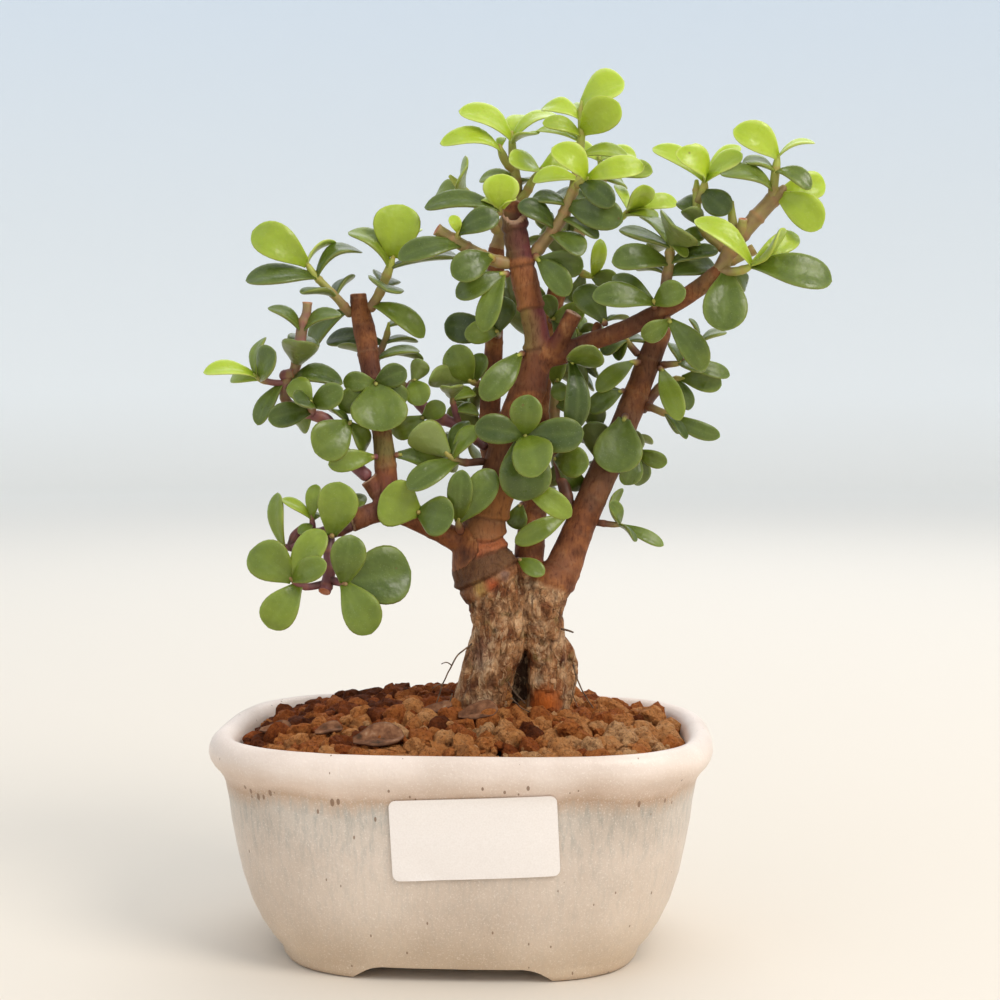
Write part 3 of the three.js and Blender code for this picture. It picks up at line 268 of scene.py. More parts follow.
speck_kind = add(tree, "SeparateColor", links={0: (specks, "Color")})
lip_foot = add(tree, "ValToRGB", {"stops": [
    (0.05, "303030"), (0.14, "000000"), (0.68, "000000"), (0.78, "c8c8c8"), (0.86, "000000")]}, {0: zone})
speck_chance = add(tree, "Math", {"operation": "MULTIPLY_ADD", 1: 0.6}, {0: lip_foot, 2: speck_kind})
speck_reach = add(tree, "Math", {"operation": "MULTIPLY_ADD", 1: 0.62, 2: -0.44}, {0: speck_chance})
speck_gap = add(tree, "Math", {"operation": "SUBTRACT"}, {0: speck_reach, 1: (specks, "Distance")})
speck_mask = add(tree, "MapRange", {"From Max": 0.04, "To Max": 0.8}, {"Value": speck_gap})
speckled = add(tree, "Mix", {"data_type": "RGBA", 7: "7a5a40"}, {0: speck_mask, 6: (frosted, 2)})
tree.links.new(speckled.outputs[2], shader.inputs["Base Color"])
orange_peel = add(tree, "TexNoise", {"Scale": 1 / (0.9091 * MM), "Detail": 3}, {"Vector": place})
skin = add(tree, "Bump", {"Strength": 0.3, "Distance": 0.0004}, {"Height": orange_peel})
run_skin = add(tree, "Bump", {"Strength": 0.2, "Distance": 0.0006}, {"Height": runs, "Normal": skin})
tree.links.new(run_skin.outputs[0], shader.inputs["Normal"])

pot = piece("glazed_pot", *pot_rings([*FOOT, *WALL, *LIP, *INNER], POT_SIDES), glaze)


def cutter(points, faces):
    """A block that will be cut out of the pot."""
    made = piece("cutter", points, faces, glaze)
    cut = pot.modifiers.new("cut", "BOOLEAN")
    cut.operation = "DIFFERENCE"
    cut.solver = "EXACT"
    cut.object = made
    return made


def prism(outline, axis, low, high):
    """A closed prism of an outline, swept along an axis of the pot's own frame."""
    count = len(outline)
    points = [np.insert(point, axis, reach) for reach in (low, high) for point in outline] + pot_middle
    sides = [[i, (i + 1) % count, count + (i + 1) % count, count + i] for i in range(count)]
    return points, sides + [list(range(count))[::-1], list(range(count, 2 * count))]


cutters = []
for axis, half in ((1, FOOT_GAP_HALVES[0]), (0, FOOT_GAP_HALVES[1])):
    left = [[-half - out, up] for out, up in FOOT_GAP_ARCH]
    arch = left + [[half + out, up] for out, up in FOOT_GAP_ARCH[::-1]]
    cutters.append(cutter(*prism(arch if axis == 1 else arch[::-1], axis, -CUTTER_REACH, CUTTER_REACH)))
for x, radius in DRAINS:
    turns = np.linspace(0, 2 * math.pi, 33)[:-1]
    circle = [(x + radius * math.cos(a), radius * math.sin(a)) for a in turns]
    cutters.append(cutter(*prism(circle, 2, *DRAIN_CUT)))
settle(pot)
for made in cutters:
    bpy.data.objects.remove(made)
edges = pot.modifiers.new("edges", "BEVEL")
edges.width = EDGE_ROUNDING * MM
edges.segments = 3
edges.angle_limit = math.radians(50)
mesh = settle(pot)
where = positions(mesh)
# Hand-worked clay: a slow waver of the wall and a finer one of the surface
push(mesh, 0.14 * unevenness(where, 31, 3) + 0.04 * unevenness(where, 5, 4))
mesh.shade_smooth()
mesh.set_sharp_from_angle(angle=math.radians(40))
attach(pot, "root")
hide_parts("pot")


# Drainage mesh: a square of moulded polyethylene netting laid over the drain holes before the
# soil goes in. It shows only from below, through the holes.
MESH_SIZE = (52, 18)
MESH_LEVEL = 9.2
STRAND_SPACING = 2.15
STRAND_HALF = 0.3
# Polyethylene, moulded: dull dark green with faint mottling
netting, tree, shader = new_material("polyethylene netting", "2f3a30", 0.45)
place = (add(tree, "TexCoord"), "Object")
grain = add(tree, "TexNoise", {"Scale": 1 / (1.111 * MM)}, {"Vector": place})
tone = add(tree, "ValToRGB", {"stops": [(0.3, "26302a"), (0.7, "3c4a3d")]}, {0: grain})
tree.links.new(tone.outputs[0], shader.inputs["Base Color"])


def joined(shapes):
    """The points and faces of several shapes as those of one."""
    faces, start = [], 0
    for points, corners in shapes:
        faces += [[start + i for i in face] for face in corners]
        start += len(points)
    return np.concatenate([points for points, _ in shapes]), faces


BOX = [[0, 2, 3, 1], [4, 5, 7, 6], [0, 1, 5, 4], [2, 6, 7, 3], [0, 4, 6, 2], [1, 3, 7, 5]]
strands = []
for axis in (0, 1):
    reach = MESH_SIZE[axis] / 2
    level = 0.15 * axis
    for k in np.arange(-MESH_SIZE[1 - axis] / 2 + 0.4, MESH_SIZE[1 - axis] / 2, STRAND_SPACING):
        ends = ([-reach, k - STRAND_HALF, level - 0.35], [reach, k + STRAND_HALF, level + 0.2])
        corners = [[ends[i >> c & 1][c] for c in range(3)] for i in range(8)]
        if axis == 0:
            strands.append((corners, BOX))
        else:
            strands.append(([[y, x, z] for x, y, z in corners], [face[::-1] for face in BOX]))
points, faces = joined(strands)
drainage = piece("drainage_netting", points + pot_middle + [0, 0, MESH_LEVEL], faces, netting, smooth=False)
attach(drainage, "root")
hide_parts("drainage_mesh")


# The label: a blank slip of coated paper with round corners, stuck to the front of the pot a
# little askew. It follows the slope and the bow of the wall and lifts slightly at one corner.
LABEL_SIZE = (38.4, 19)
LABEL_CENTRE = (5.8, 36)
LABEL_TURN = math.radians(2.6)
LABEL_CORNER = 1.6
LABEL_THICKNESS = 0.22
LABEL_OFF_WALL = 0.35
LABEL_GRID = (48, 24)
# Coated paper: a smooth, even off-white with fibres that only just show, drawn 0.4 mm long
paper, tree, shader = new_material("coated label paper", "f4ebe4", 0.5)
place = (add(tree, "TexCoord"), "Object")
fibre = add(tree, "TexNoise", {"Scale": 1 / (0.3846 * MM), "Detail": 3}, {"Vector": place})
tone = add(tree, "ValToRGB", {"stops": [(0.3, "efe5dd"), (0.7, "f6ede6")]}, {0: fibre})
tree.links.new(tone.outputs[0], shader.inputs["Base Color"])
sheet_bump = add(tree, "Bump", {"Strength": 0.1, "Distance": 0.0001}, {"Height": fibre})
tree.links.new(sheet_bump.outputs[0], shader.inputs["Normal"])

columns, rows = LABEL_GRID
wall_length, wall_height = zip(*WALL, *LIP[:4])
points, faces = [], []
for back in (0, 1):
    for j in range(rows + 1):
        for i in range(columns + 1):
            u, v = 2 * i / columns - 1, -math.cos(math.pi * j / rows)
            inset = max(0, abs(v) * LABEL_SIZE[1] / 2 - LABEL_SIZE[1] / 2 + LABEL_CORNER)
            width = LABEL_SIZE[0] / 2 - LABEL_CORNER + math.sqrt(max(0, LABEL_CORNER ** 2 - inset ** 2))
            along, up = u * width, v * LABEL_SIZE[1] / 2
            x = LABEL_CENTRE[0] + along * math.cos(LABEL_TURN) - up * math.sin(LABEL_TURN)
            z = LABEL_CENTRE[1] + along * math.sin(LABEL_TURN) + up * math.cos(LABEL_TURN)
            length = float(np.interp(z, wall_height, wall_length))
            bow = (1 - (abs(x) / length) ** CORNER_POWER) ** (1 / CORNER_POWER)
            curl = 0.5 * max(0, -u - v - 1.3) ** 2
            ripple = 0.12 * math.sin(9 * u + 4 * v) * max(0, -v) * max(0, -u)
            lift = LABEL_OFF_WALL + curl + ripple
            points.append([x, -half_width(length) * bow - lift - (0 if back else LABEL_THICKNESS), z])
    start = back * (rows + 1) * (columns + 1)
    for j in range(rows):
        for i in range(columns):
            a = start + j * (columns + 1) + i
            quad = [a, a + 1, a + columns + 2, a + columns + 1]
            faces.append(quad[::-1] if back else quad)
count = (rows + 1) * (columns + 1)
bottom = list(range(columns))
right = [columns + j * (columns + 1) for j in range(rows)]
border = bottom + right + [count - 1 - i for i in bottom] + [count - 1 - i for i in right]
faces += [[a, a + count, b + count, b] for a, b in zip(border, border[1:] + border[:1])]
label = piece("blank_label", np.array(points) + pot_middle, faces, paper)
label.data.set_sharp_from_angle(angle=math.radians(50))
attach(label, "root")
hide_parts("label")


# The soil: hard fired clay grains of 4 to 7 mm, poured over a bed painted near black as the shade deep
# between them, and heaped towards the trunk. They are porous and angular, pale orange to dark brown, and
# painted paler at the front right and darker at the back left as painted light and shade.
SOIL_LEVEL = 50.5
MOUND_RISE = 8.5
MOUND_REACH = (56, 52)
MOUND_BACK = 8
OPENING = (54.4, 38.8)
BED_WALL = [[40.4, 8.9], [45.2, 10.9], [50.4, 19.4], [53.2, 31], [54.4, 46]]
BED_REACH = 54.6
BED_SIDES = 96
BED_BELOW = 1.8
BED_GAP = 0.985
LARGEST_GRAIN = 3.9
POUR_HALVES = (54, 39)
# Grains are poured in five lots: [least radius, spread of radii, tries, how far they ride up]
GRAIN_LOTS = [[3.1, 0.6, 1500, 0], [2.3, 0.5, 4000, 0], [1.5, 0.4, 6000, 0.2], [2.3, 0.7, 1200, 1.9],
              [0.9, 0.35, 6000, 1.2]]
# How near two grains may lie, as a share of their radii: when poured, and when laid on top
CROWDING = (0.74, 0.8)
FINE_GRAIN = 1.75
GRAIN_CUTS = 8
GRAIN_ROUNDNESS = 14
GRAIN_LIMIT = 1.12


def soil_height(x, y):
    """The mound: highest at the trunk, behind the middle, and level at the pot's wall."""
    return SOIL_LEVEL + MOUND_RISE * np.maximum(0, 1 - (x / MOUND_REACH[0]) ** 2) * \
        np.maximum(0, 1 - ((y - MOUND_BACK) / MOUND_REACH[1]) ** 2)


def inside_opening(x, y, gap):
    along, across = abs(x) / (OPENING[0] - gap), abs(y) / (OPENING[1] - gap)
    return along ** CORNER_POWER + across ** CORNER_POWER < 1


def shade(mesh, name, values):
    """Stores four numbers from 0 to 1 at each vertex, for a material to read."""
    layer = mesh.color_attributes.new(name, "FLOAT_COLOR", "POINT")
    layer.data.foreach_set("color", np.asarray(values, np.float32).ravel())


# Fired clay: matt and dusty, with pores of about 1 mm, stained in patches of 3 mm
baked_clay, tree, shader = new_material("fired clay grains", "a5673a", 0.85, Specular_IOR_Level=0.12)
place = (add(tree, "TexCoord"), "Object")
kind = add(tree, "Attribute", {"attribute_name": "grain"})
split = add(tree, "SeparateColor", links={0: (kind, "Color")})
stain = add(tree, "TexNoise", {"Scale": 1 / (2.857 * MM), "Detail": 5, "Roughness": 0.65},
            {"Vector": place})
stained = add(tree, "Math", {"operation": "MULTIPLY_ADD", 1: 0.5}, {0: stain, 2: split})
clay_share = add(tree, "MapRange", {"From Min": 0.25, "From Max": 1.25}, {"Value": stained})
clay = add(tree, "ValToRGB", {"stops": [
    (0, "3c2110"), (0.2, "6c381a"), (0.45, "ac5e2d"), (0.65, "cb8044"), (0.82, "dd9c60"), (1, "e8b784")]},
           {0: clay_share})
pores = add(tree, "TexNoise", {"Scale": 1 / (0.9091 * MM), "Detail": 6, "Roughness": 0.8},
            {"Vector": place})
pore_tone = add(tree, "ValToRGB", {"stops": [(0.34, "7a5238"), (0.5, "f2e6da"), (0.7, "fff4e2")]},
                {0: pores})
dusty = add(tree, "Mix", {"data_type": "RGBA", "blend_type": "MULTIPLY", 0: 0.85}, {6: clay, 7: pore_tone})
# The bed shows only between the grains and is painted near black there, as painted shade
bed_painted_shade = add(tree, "Mix", {"data_type": "RGBA", 7: "24130a"}, {0: (split, 1), 6: (dusty, 2)})
tree.links.new(bed_painted_shade.outputs[2], shader.inputs["Base Color"])
pits = add(tree, "TexVoronoi", {"Scale": 1 / (1 * MM)}, {"Vector": place})
pit_bump = add(tree, "Bump", {"Strength": 0.8, "Distance": 0.0007}, {"Height": (pits, "Distance")})
pore_bump = add(tree, "Bump", {"Strength": 1, "Distance": 0.0015}, {"Height": pores, "Normal": pit_bump})
tree.links.new(pore_bump.outputs[0], shader.inputs["Normal"])

bed_top = [[(i / 30) * BED_REACH, 50] for i in range(30, 0, -1)]
points, faces = pot_rings([*BED_WALL, *bed_top], BED_SIDES)
flat = points - pot_middle
top = np.arange(len(points)) >= (len(BED_WALL) - 1) * BED_SIDES
flat[top, 2] = soil_height(flat[top, 0], flat[top, 1]) - BED_BELOW
flat[:, :2] *= BED_GAP
points = flat + pot_middle
points[top] += 0.5 * unevenness(points[top], 3, 5)[:, None] * [0, 0, 1]
soil_shapes = [(points, faces)]
soil_marks = [np.tile([0.3, 1.0, 0, 1], (len(points), 1))]

chance = random.Random(11)
scatter = np.random.default_rng(11)
grains = []
for least, spread, tries, rise in GRAIN_LOTS:
    crowd = CROWDING[rise >= 1]
    for _ in range(tries):
        radius = min(LARGEST_GRAIN, least + abs(chance.gauss(0, spread)))
        x, y = [chance.uniform(-half, half) for half in POUR_HALVES]
        if not inside_opening(x, y, 0.6 * radius):
            continue
        z = float(soil_height(x, y)) - 0.35 * radius + rise * radius * 0.55
        if all((x - a) ** 2 + (y - b) ** 2 + (z - c) ** 2 > (crowd * (radius + r)) ** 2
               for a, b, c, r in grains):
            grains.append((x, y, z, radius))


def ball(steps):
    """Directions and faces of an even ball of triangles."""
    shell = bmesh.new()
    bmesh.ops.create_icosphere(shell, subdivisions=steps, radius=1)
    made = np.array([v.co for v in shell.verts]), [[v.index for v in f.verts] for f in shell.faces]
    shell.free()
    return made


balls = {True: ball(3), False: ball(2)}
for number, (x, y, z, radius) in enumerate(grains):
    directions, ball_faces = balls[radius > FINE_GRAIN]
    turn, _ = np.linalg.qr(scatter.normal(size=(3, 3)))
    # A ball cut back by a few planes, with its edges worn round
    cuts = scatter.normal(size=(GRAIN_CUTS, 3))
    cuts /= np.linalg.norm(cuts, axis=1)[:, None]
    depths = scatter.uniform(0.5, 0.95, GRAIN_CUTS)
    facing = directions @ cuts.T
    reach = np.where(facing > 0.05, depths / np.maximum(facing, 0.05), 9).min(axis=1)
    worn = np.exp(-GRAIN_ROUNDNESS * np.minimum(reach, 1.2)) + np.exp(-GRAIN_ROUNDNESS * GRAIN_LIMIT)
    reach = -np.log(worn) / GRAIN_ROUNDNESS
    coarse, fine = directions * 1.9 + number * 7, directions * 4 + number
    reach += 0.1 * unevenness(coarse, 1, 21) + 0.13 * unevenness(fine, 1, 22)
    reach += 0.06 * scatter.uniform(-1, 1, len(directions))
    grain = (directions * reach[:, None] * scatter.uniform(0.75, 1.15, 3)) @ turn * radius * 1.12
    soil_shapes.append((grain + [x, y, z] + pot_middle, ball_faces))
    # Paler towards the front right and darker towards the back left, as painted light and shade,
    # with a random spread from grain to grain
    painted_light_share = 0.57 + 0.24 * x / 54 - 0.2 * y / 38 + scatter.normal(0, 0.19)
    soil_marks.append(np.tile([np.clip(painted_light_share, 0.2, 1), 0, 0, 1], (len(grain), 1)))
soil = piece("clay_grain_soil", *joined(soil_shapes), baked_clay, smooth=False)
shade(soil.data, "grain", np.concatenate(soil_marks))
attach(soil, "root")
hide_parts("soil")


# The wood: a short trunk and a second leg that rise from the soil and cross, with the limbs that
# part from them. Old bark at the foot has cracked into grey-brown plates; the limbs above are
# smooth and red-brown, ringed where leaves once sat, and end in old pruning cuts.
# Each limb is a row of [across, up, depth, radius], from its root to its end
LIMBS = [
  [[1.8, 46, 0, 8], [3.6, 57, 0, 6.8], [5.4, 65, 0, 6.6], [7.3, 71.5, 0, 7], [9.6, 79, 0, 7.1],
    [9, 86, 0, 7.6], [5.8, 92, 0, 8.5], [3.6, 97, 0, 8.1], [4, 101, -0.5, 5.5], [5.4, 107, -1, 5.4],
    [7.6, 112, -1.5, 5], [9.6, 118, -2, 5], [11.3, 124, -2, 5], [13.5, 131, -2, 4.9],
    [15.9, 138, -2, 4.5], [18, 144.5, -2, 3.7], [19, 149, -2, 3.1], [17.9, 154.5, -2.5, 3],
    [16.9, 158.5, -3, 2.9], [16, 162.5, -3, 3.3], [15, 167, -3.5, 3.7], [14, 170.5, -3.5, 3.2],
    [13.2, 175, -4, 3], [12.7, 179.5, -4.5, 3.2], [12.5, 183, -4.5, 3.1]],
  [[20.8, 46, 1, 4.8], [20.9, 57, 1, 4.5], [21.2, 65, 1, 5.1], [21, 72, 1, 4.9], [19.4, 79, 0.5, 5.4],
    [18.8, 86, 0, 6.9], [23.3, 91, 1, 5], [26, 96, 2, 4.3], [28.4, 103, 3.2, 4.1], [31.5, 110, 4.6, 3.9],
    [34.6, 117, 6.4, 3.8], [38, 124.5, 9, 3.5], [41, 132, 11, 3.3], [44, 140, 13, 3.2],
    [46.4, 146, 14.5, 3.1], [48.8, 152.5, 16, 2.9]],
  [[24, 76, 2, 1.5], [27.2, 72.4, 2.6, 1.5], [27.7, 68, 2.6, 1.6], [26.8, 64, 2.6, 1.3],
    [25.6, 58, 2, 1.2]],
  [[15.5, 88, 3, 4], [16.3, 96, 5, 3.8], [16.6, 102, 6.5, 3.7], [17.6, 108, 8.5, 3.3], [18.6, 114, 11, 3],
    [19, 124, 14.5, 2.8], [19, 136, 17.5, 2.7], [20, 148, 19, 2.6], [22, 158, 18.5, 2.6],
    [23.8, 165, 18, 2.4], [25.5, 169, 17.5, 2.1]],
  [[1, 100, -1, 3.8], [-3.5, 101.8, -1.5, 3], [-8, 104, -3, 2.6], [-13, 106.3, -5.5, 2.4],
    [-20, 108.8, -8.5, 2.6], [-25, 107.2, -10, 2.7], [-28.5, 105.2, -11, 2.4]],
  [[-18.8, 107.5, -8, 2.7], [-19.1, 115, -7.5, 2.7], [-19.6, 121.3, -7, 2.8], [-20.3, 128, -6, 2.4],
    [-22, 138, -4, 2.5], [-23.4, 145, -2, 2.4], [-24.3, 151, 0, 2.7], [-25.2, 156, 2, 3.1],
    [-26, 158.5, 3, 2.2], [-26.2, 162.4, 4, 2.1]],
  [[-20.5, 111, -7.5, 2], [-24, 116, -8, 1.9]],
  [[8.5, 116, 2, 3], [7, 122, 6.5, 2.8], [6.5, 130, 10, 2.8], [6.6, 138, 12.5, 2.7], [7.6, 150, 14, 2.4],
    [8, 162, 13.5, 2.2], [8.2, 173, 12.5, 2.1]],
  [[20, 146.5, -2, 2.6], [25, 147, -2.5, 2.5], [31, 150.4, -4, 2.3], [37, 152, -6, 2.3],
    [43, 154.8, -8, 2.3], [49, 158, -10.5, 2.3], [54, 160.6, -12.5, 2.2], [59, 164, -14, 2.1],
    [63.2, 167.4, -15.5, 2.2]],
  [[21, 146, -3, 2.2], [23.8, 150.5, -4.5, 2.1], [27.6, 157.6, -6, 2.1]],
  [[32.6, 151.5, -3.5, 1.4], [33.6, 155, -2, 1.1]],
  [[13.6, 50, 6.5, 4.2], [13.8, 58, 6.5, 4], [14.4, 66, 6, 4], [14.8, 74, 4.5, 4]],
]
TRUNK, LEG, LEFT_STUB, ROOT_BETWEEN = 0, 1, 5, 11
# The pruned limbs: how wide and deep the cut has hollowed, and how far it slants to the viewer
CUT_ENDS = {0: (0.7, 4, 1.1), 4: (0.3, 0.4, 0.1), 5: (0.45, 0.9, 0.3), 6: (0.35, 0.5, 0), 9: (0.35, 0.5, 0),
            10: (0.35, 0.5, 0)}
ROUND_END = [(0.45, 0.9), (0.8, 0.55)]
VOXEL = 0.45


def smooth_path(rows, step, reach):
    """Rows [across, up, depth, radius] as [x, y, z, radius] rows a step apart on a smooth curve."""
    rows = np.array([[*placed(*row[:3]), row[3]] for row in rows])
    spans = np.linalg.norm(np.diff(rows[:, :3], axis=0), axis=1)
    place = np.concatenate([[0], np.cumsum(spans)])
    count = max(4, round(place[-1] / step) + 1)
    even = np.linspace(0, place[-1], count)
    dense = np.stack([np.interp(even, place, column) for column in rows.T], axis=1)
    far = min(count - 1, max(1, round(2.5 * reach / step)))
    before = 2 * dense[0] - dense[far:0:-1]
    after = 2 * dense[-1] - dense[-2:-far - 2:-1]
    before[:, 3], after[:, 3] = dense[0, 3], dense[-1, 3]
    weights = np.exp(-0.5 * (np.arange(-far, far + 1) * place[-1] / (count - 1) / reach) ** 2)
    padded = np.concatenate([before, dense, after])
    return np.stack([np.convolve(column, weights / weights.sum(), "valid") for column in padded.T], axis=1)


def unit(way):
    return way / np.linalg.norm(way)


FIRST_SIDE = np.array([0.3, 1, 0.2])


def frames_along(centres):
    """Forward, side and front directions at each point of a path, turning as little as they can."""
    forward = np.gradient(centres, axis=0)
    forward /= np.linalg.norm(forward, axis=1)[:, None]
    side = FIRST_SIDE
    sides = []
    for direction in forward:
        side = unit(side - direction * side.dot(direction))
        sides.append(side)
    return forward, np.array(sides), np.cross(sides, forward)


def tube(rows, sides, pruned=None):
    """A closed tube along [x, y, z, radius] rows, rounded at its ends or cut with a hollow.

    Gives the points, the faces and each point's share of the length."""
    rows = np.asarray(rows)
    forward, side, front = frames_along(rows[:, :3])
    last = len(rows) - 1
    # Each ring: [row, shift along the tube, scale, slant]
    rings = [(0, -reach * rows[0, 3], scale, 0) for reach, scale in ROUND_END[::-1]]
    rings += [(i, 0, 1, 0) for i in range(last)]
    if pruned:
        hollow, depth, slant = pruned
        rings += [(last, 0, 1, slant), (last, 0.01, 0.9, slant), (last, 0, hollow * 1.15, slant),
                  (last, -depth, hollow * 0.8, slant)]
    else:
        rings += [(last, 0, 1, 0)] + [(last, reach * rows[-1, 3], scale, 0) for reach, scale in ROUND_END]
    turn = np.linspace(0, 2 * math.pi, sides, endpoint=False)
    points = []
    for i, shift, scale, slant in rings:
        arms = (np.cos(turn)[:, None] * side[i] + np.sin(turn)[:, None] * front[i]) * rows[i, 3] * scale
        lean = -slant * (arms @ unit(viewer - rows[i, :3]))
        points.append(rows[i, :3] + arms + (shift + lean)[:, None] * forward[i])
    faces = between(len(rings), sides, (0, 3, 2, 1))
    faces += [list(range(sides)), list(range(len(rings) * sides - 1, (len(rings) - 1) * sides - 1, -1))]
    share = np.linspace(0, 1, len(rows))
    return np.concatenate(points), faces, np.repeat([share[ring[0]] for ring in rings], sides)


# The limbs are melted into one at a thousand times their size, and brought back after it
limb_paths = [smooth_path(rows, 1.2, 3.2) for rows in LIMBS]
points, faces = joined([tube(path, 28 if path[0, 3] > 4 else 18, CUT_ENDS.get(number))[:2]
                        for number, path in enumerate(limb_paths)])
wood = piece("barked_wood", points / MM, faces, glaze)
melt = wood.modifiers.new("melt", "REMESH")
melt.mode = "VOXEL"
melt.voxel_size = VOXEL
soften = wood.modifiers.new("soften", "SMOOTH")
soften.factor = 0.5
soften.iterations = 5
mesh = settle(wood)
set_positions(mesh, positions(mesh) * MM)

# Each point of the bark is read against the nearest place on a limb's middle line
middle_lines = [smooth_path(rows, 0.5, 3.2) for rows in LIMBS]
line = np.concatenate(middle_lines)
line_limb = np.repeat(np.arange(len(LIMBS)), [len(path) for path in middle_lines])
line_place = np.concatenate([np.arange(len(path)) * 0.5 for path in middle_lines])
tree_of_places = KDTree(len(line))
for number, row in enumerate(line):
    tree_of_places.insert(row[:3], number)
tree_of_places.balance()
where = positions(mesh)
nearest = np.array([tree_of_places.find(point)[1] for point in where])
limb = line_limb[nearest]
along_limb = line_place[nearest]
thickness = line[nearest, 3]
view_places = where - pot_middle
up = view_places[:, 2]

# Old bark reaches up to a collar that dips where the two legs cross, with a rough band above it
COLLAR_HEIGHT = 93
COLLAR_SLOPES = (0.68, -0.4)
COLLAR_LOWEST = 84
FORK_ACROSS = 13
ROUGH_TOP = 100
past_fork = view_places[:, 0] - FORK_ACROSS
collar = COLLAR_HEIGHT + np.minimum(COLLAR_SLOPES[0] * past_fork, COLLAR_SLOPES[1] * past_fork) \
    + 0.6 * unevenness(where, 4, 30)
collar = np.maximum(collar, COLLAR_LOWEST)
lower_trunk = np.isin(limb, (TRUNK, LEG)) & (up < 108)
rough_edge = ROUGH_TOP + 0.8 * unevenness(where, 3, 44)
rough_band = 0.35 * (limb == TRUNK) * np.clip((rough_edge - up) / 1.2 + 0.5, 0, 1)
old = np.maximum(np.clip((collar - up) / 1.2 + 0.5, 0, 1), rough_band)

# On the foot of the leg the old bark has come off and left a smooth orange place
bared = np.linalg.norm((where - placed(20.4, 58.5, -3)) / [4.2, 5, 4.2], axis=1)
old *= np.clip((bared + 0.3 * unevenness(where, 2, 47) - 0.9) * 4, 0.15, 1)

# The old bark: upright plates with cracks between them, loose flakes and steps
plates = 1 - abs(unevenness(where * [1, 1, 0.33], 2.4, 32))
fine_plates = 1 - abs(unevenness(where * [1, 1, 0.4], 1.3, 33))
fissure = np.clip((plates - 0.86) / 0.12, 0, 1) * 0.8 + np.clip((fine_plates - 0.87) / 0.11, 0, 1) * 0.6
fissure = np.clip(fissure, 0, 1)
flakes = unevenness(where * [1, 1, 0.6], 1.5, 34)
steps = np.clip(unevenness(where * [1, 1, 0.5], 2.6, 40) * 6, -1, 1)
lumps = unevenness(where, 7, 35)
relief = old * (0.34 * lumps + 0.24 * flakes + 0.26 * steps - 0.55 * fissure)
relief += lower_trunk * 0.4 * np.exp(-((up - collar - 1.6) / 1.5) ** 2)
relief -= lower_trunk * 0.3 * np.exp(-((up - collar + 0.2) / 0.6) ** 2)
wrinkled = np.clip(1 - abs(up - collar - 5) / 6, 0, 1) * lower_trunk
relief += wrinkled * 0.3 * np.clip(unevenness(where * [0.35, 0.35, 1], 1.9, 43) * 4, -1, 1)

# The young bark: smooth, with a ring every 7 to 10 mm where a pair of leaves once sat
smooth_relief = 0.22 * lumps + 0.1 * unevenness(where, 2.4, 36) \
    + 0.05 * unevenness(where * [1, 1, 0.4], 1.1, 37)
spacing = 8.5 + 1.5 * np.sin(limb * 2.1)
ring_phase = (along_limb / spacing + limb * 0.37 + 0.05 * unevenness(where, 3, 38)) % 1
rings = np.exp(-((ring_phase - 0.5) * spacing / 0.4) ** 2) * np.clip(0.5 + unevenness(where, 4, 41), 0, 1)
relief += (1 - old) * (smooth_relief + 0.22 * rings * np.minimum(1, thickness / 3))
relief *= np.clip(thickness / 2.6, 0.3, 1)

# Folds round the trunk: [height where it is 8 mm across, slope, sag, strength]
TRUNK_FOLDS = [[92.9, 0.48, 0, 0.55], [98.4, 0.3, 0, 0.4], [100.8, 0, 0.07, 0.6], [106.5, -0.17, 0, 0.55],
               [129, 0.18, 0, 0.38], [146.7, 0.18, 0, 0.38], [156.7, 0.18, 0, 0.38], [167.7, 0.18, 0, 0.38],
               [176.7, 0.18, 0, 0.38]]
fold_crease_shade = np.zeros(len(where))
trunk = np.isin(limb, (TRUNK, LEFT_STUB)) & (view_places[:, 0] > -5)
off_middle = view_places[:, 0] - 8
fold_waver = 0.4 * unevenness(where, 3, 42)


def above_fold(row):
    """How far each point of the bark is above a fold, in mm."""
    return up - row[0] - row[1] * off_middle - row[2] * (off_middle + 2.5) ** 2 - fold_waver


for row in TRUNK_FOLDS:
    off = above_fold(row)
    ridge, furrow = np.exp(-((off - 0.8) / 0.8) ** 2), np.exp(-((off + 0.45) / 0.5) ** 2)
    relief += trunk * row[3] * (ridge - 0.7 * furrow)
    # A dark line just under each fold's ridge is painted shade under the step
    fold_crease_shade += trunk * np.exp(-((off + 0.1) / 0.35) ** 2)
push(mesh, relief)

# Cut ends: a pale rim of wood round a darker core
rim, core = np.zeros(len(where)), np.zeros(len(where))
for number, (hollow, depth, slant) in CUT_ENDS.items():
    path = limb_paths[number]
    end, thick = path[-1, :3], path[-1, 3]
    forward = frames_along(path[:, :3])[0][-1]
    off = where - end
    outward = off - np.outer(off @ forward, forward)
    beyond = off @ forward + slant * (outward @ unit(viewer - end))
    aside = np.linalg.norm(outward, axis=1) / thick
    on_rim = (aside < 1.4) * (aside > 0.8 * hollow)
    in_hollow = (beyond > -depth - 1) * (beyond < 0.6)
    rim = np.maximum(rim, np.clip((beyond + 0.45) / 0.3, 0, 1) * on_rim)
    core = np.maximum(core, np.clip((0.9 * hollow - aside) * 8, 0, 1) * in_hollow)
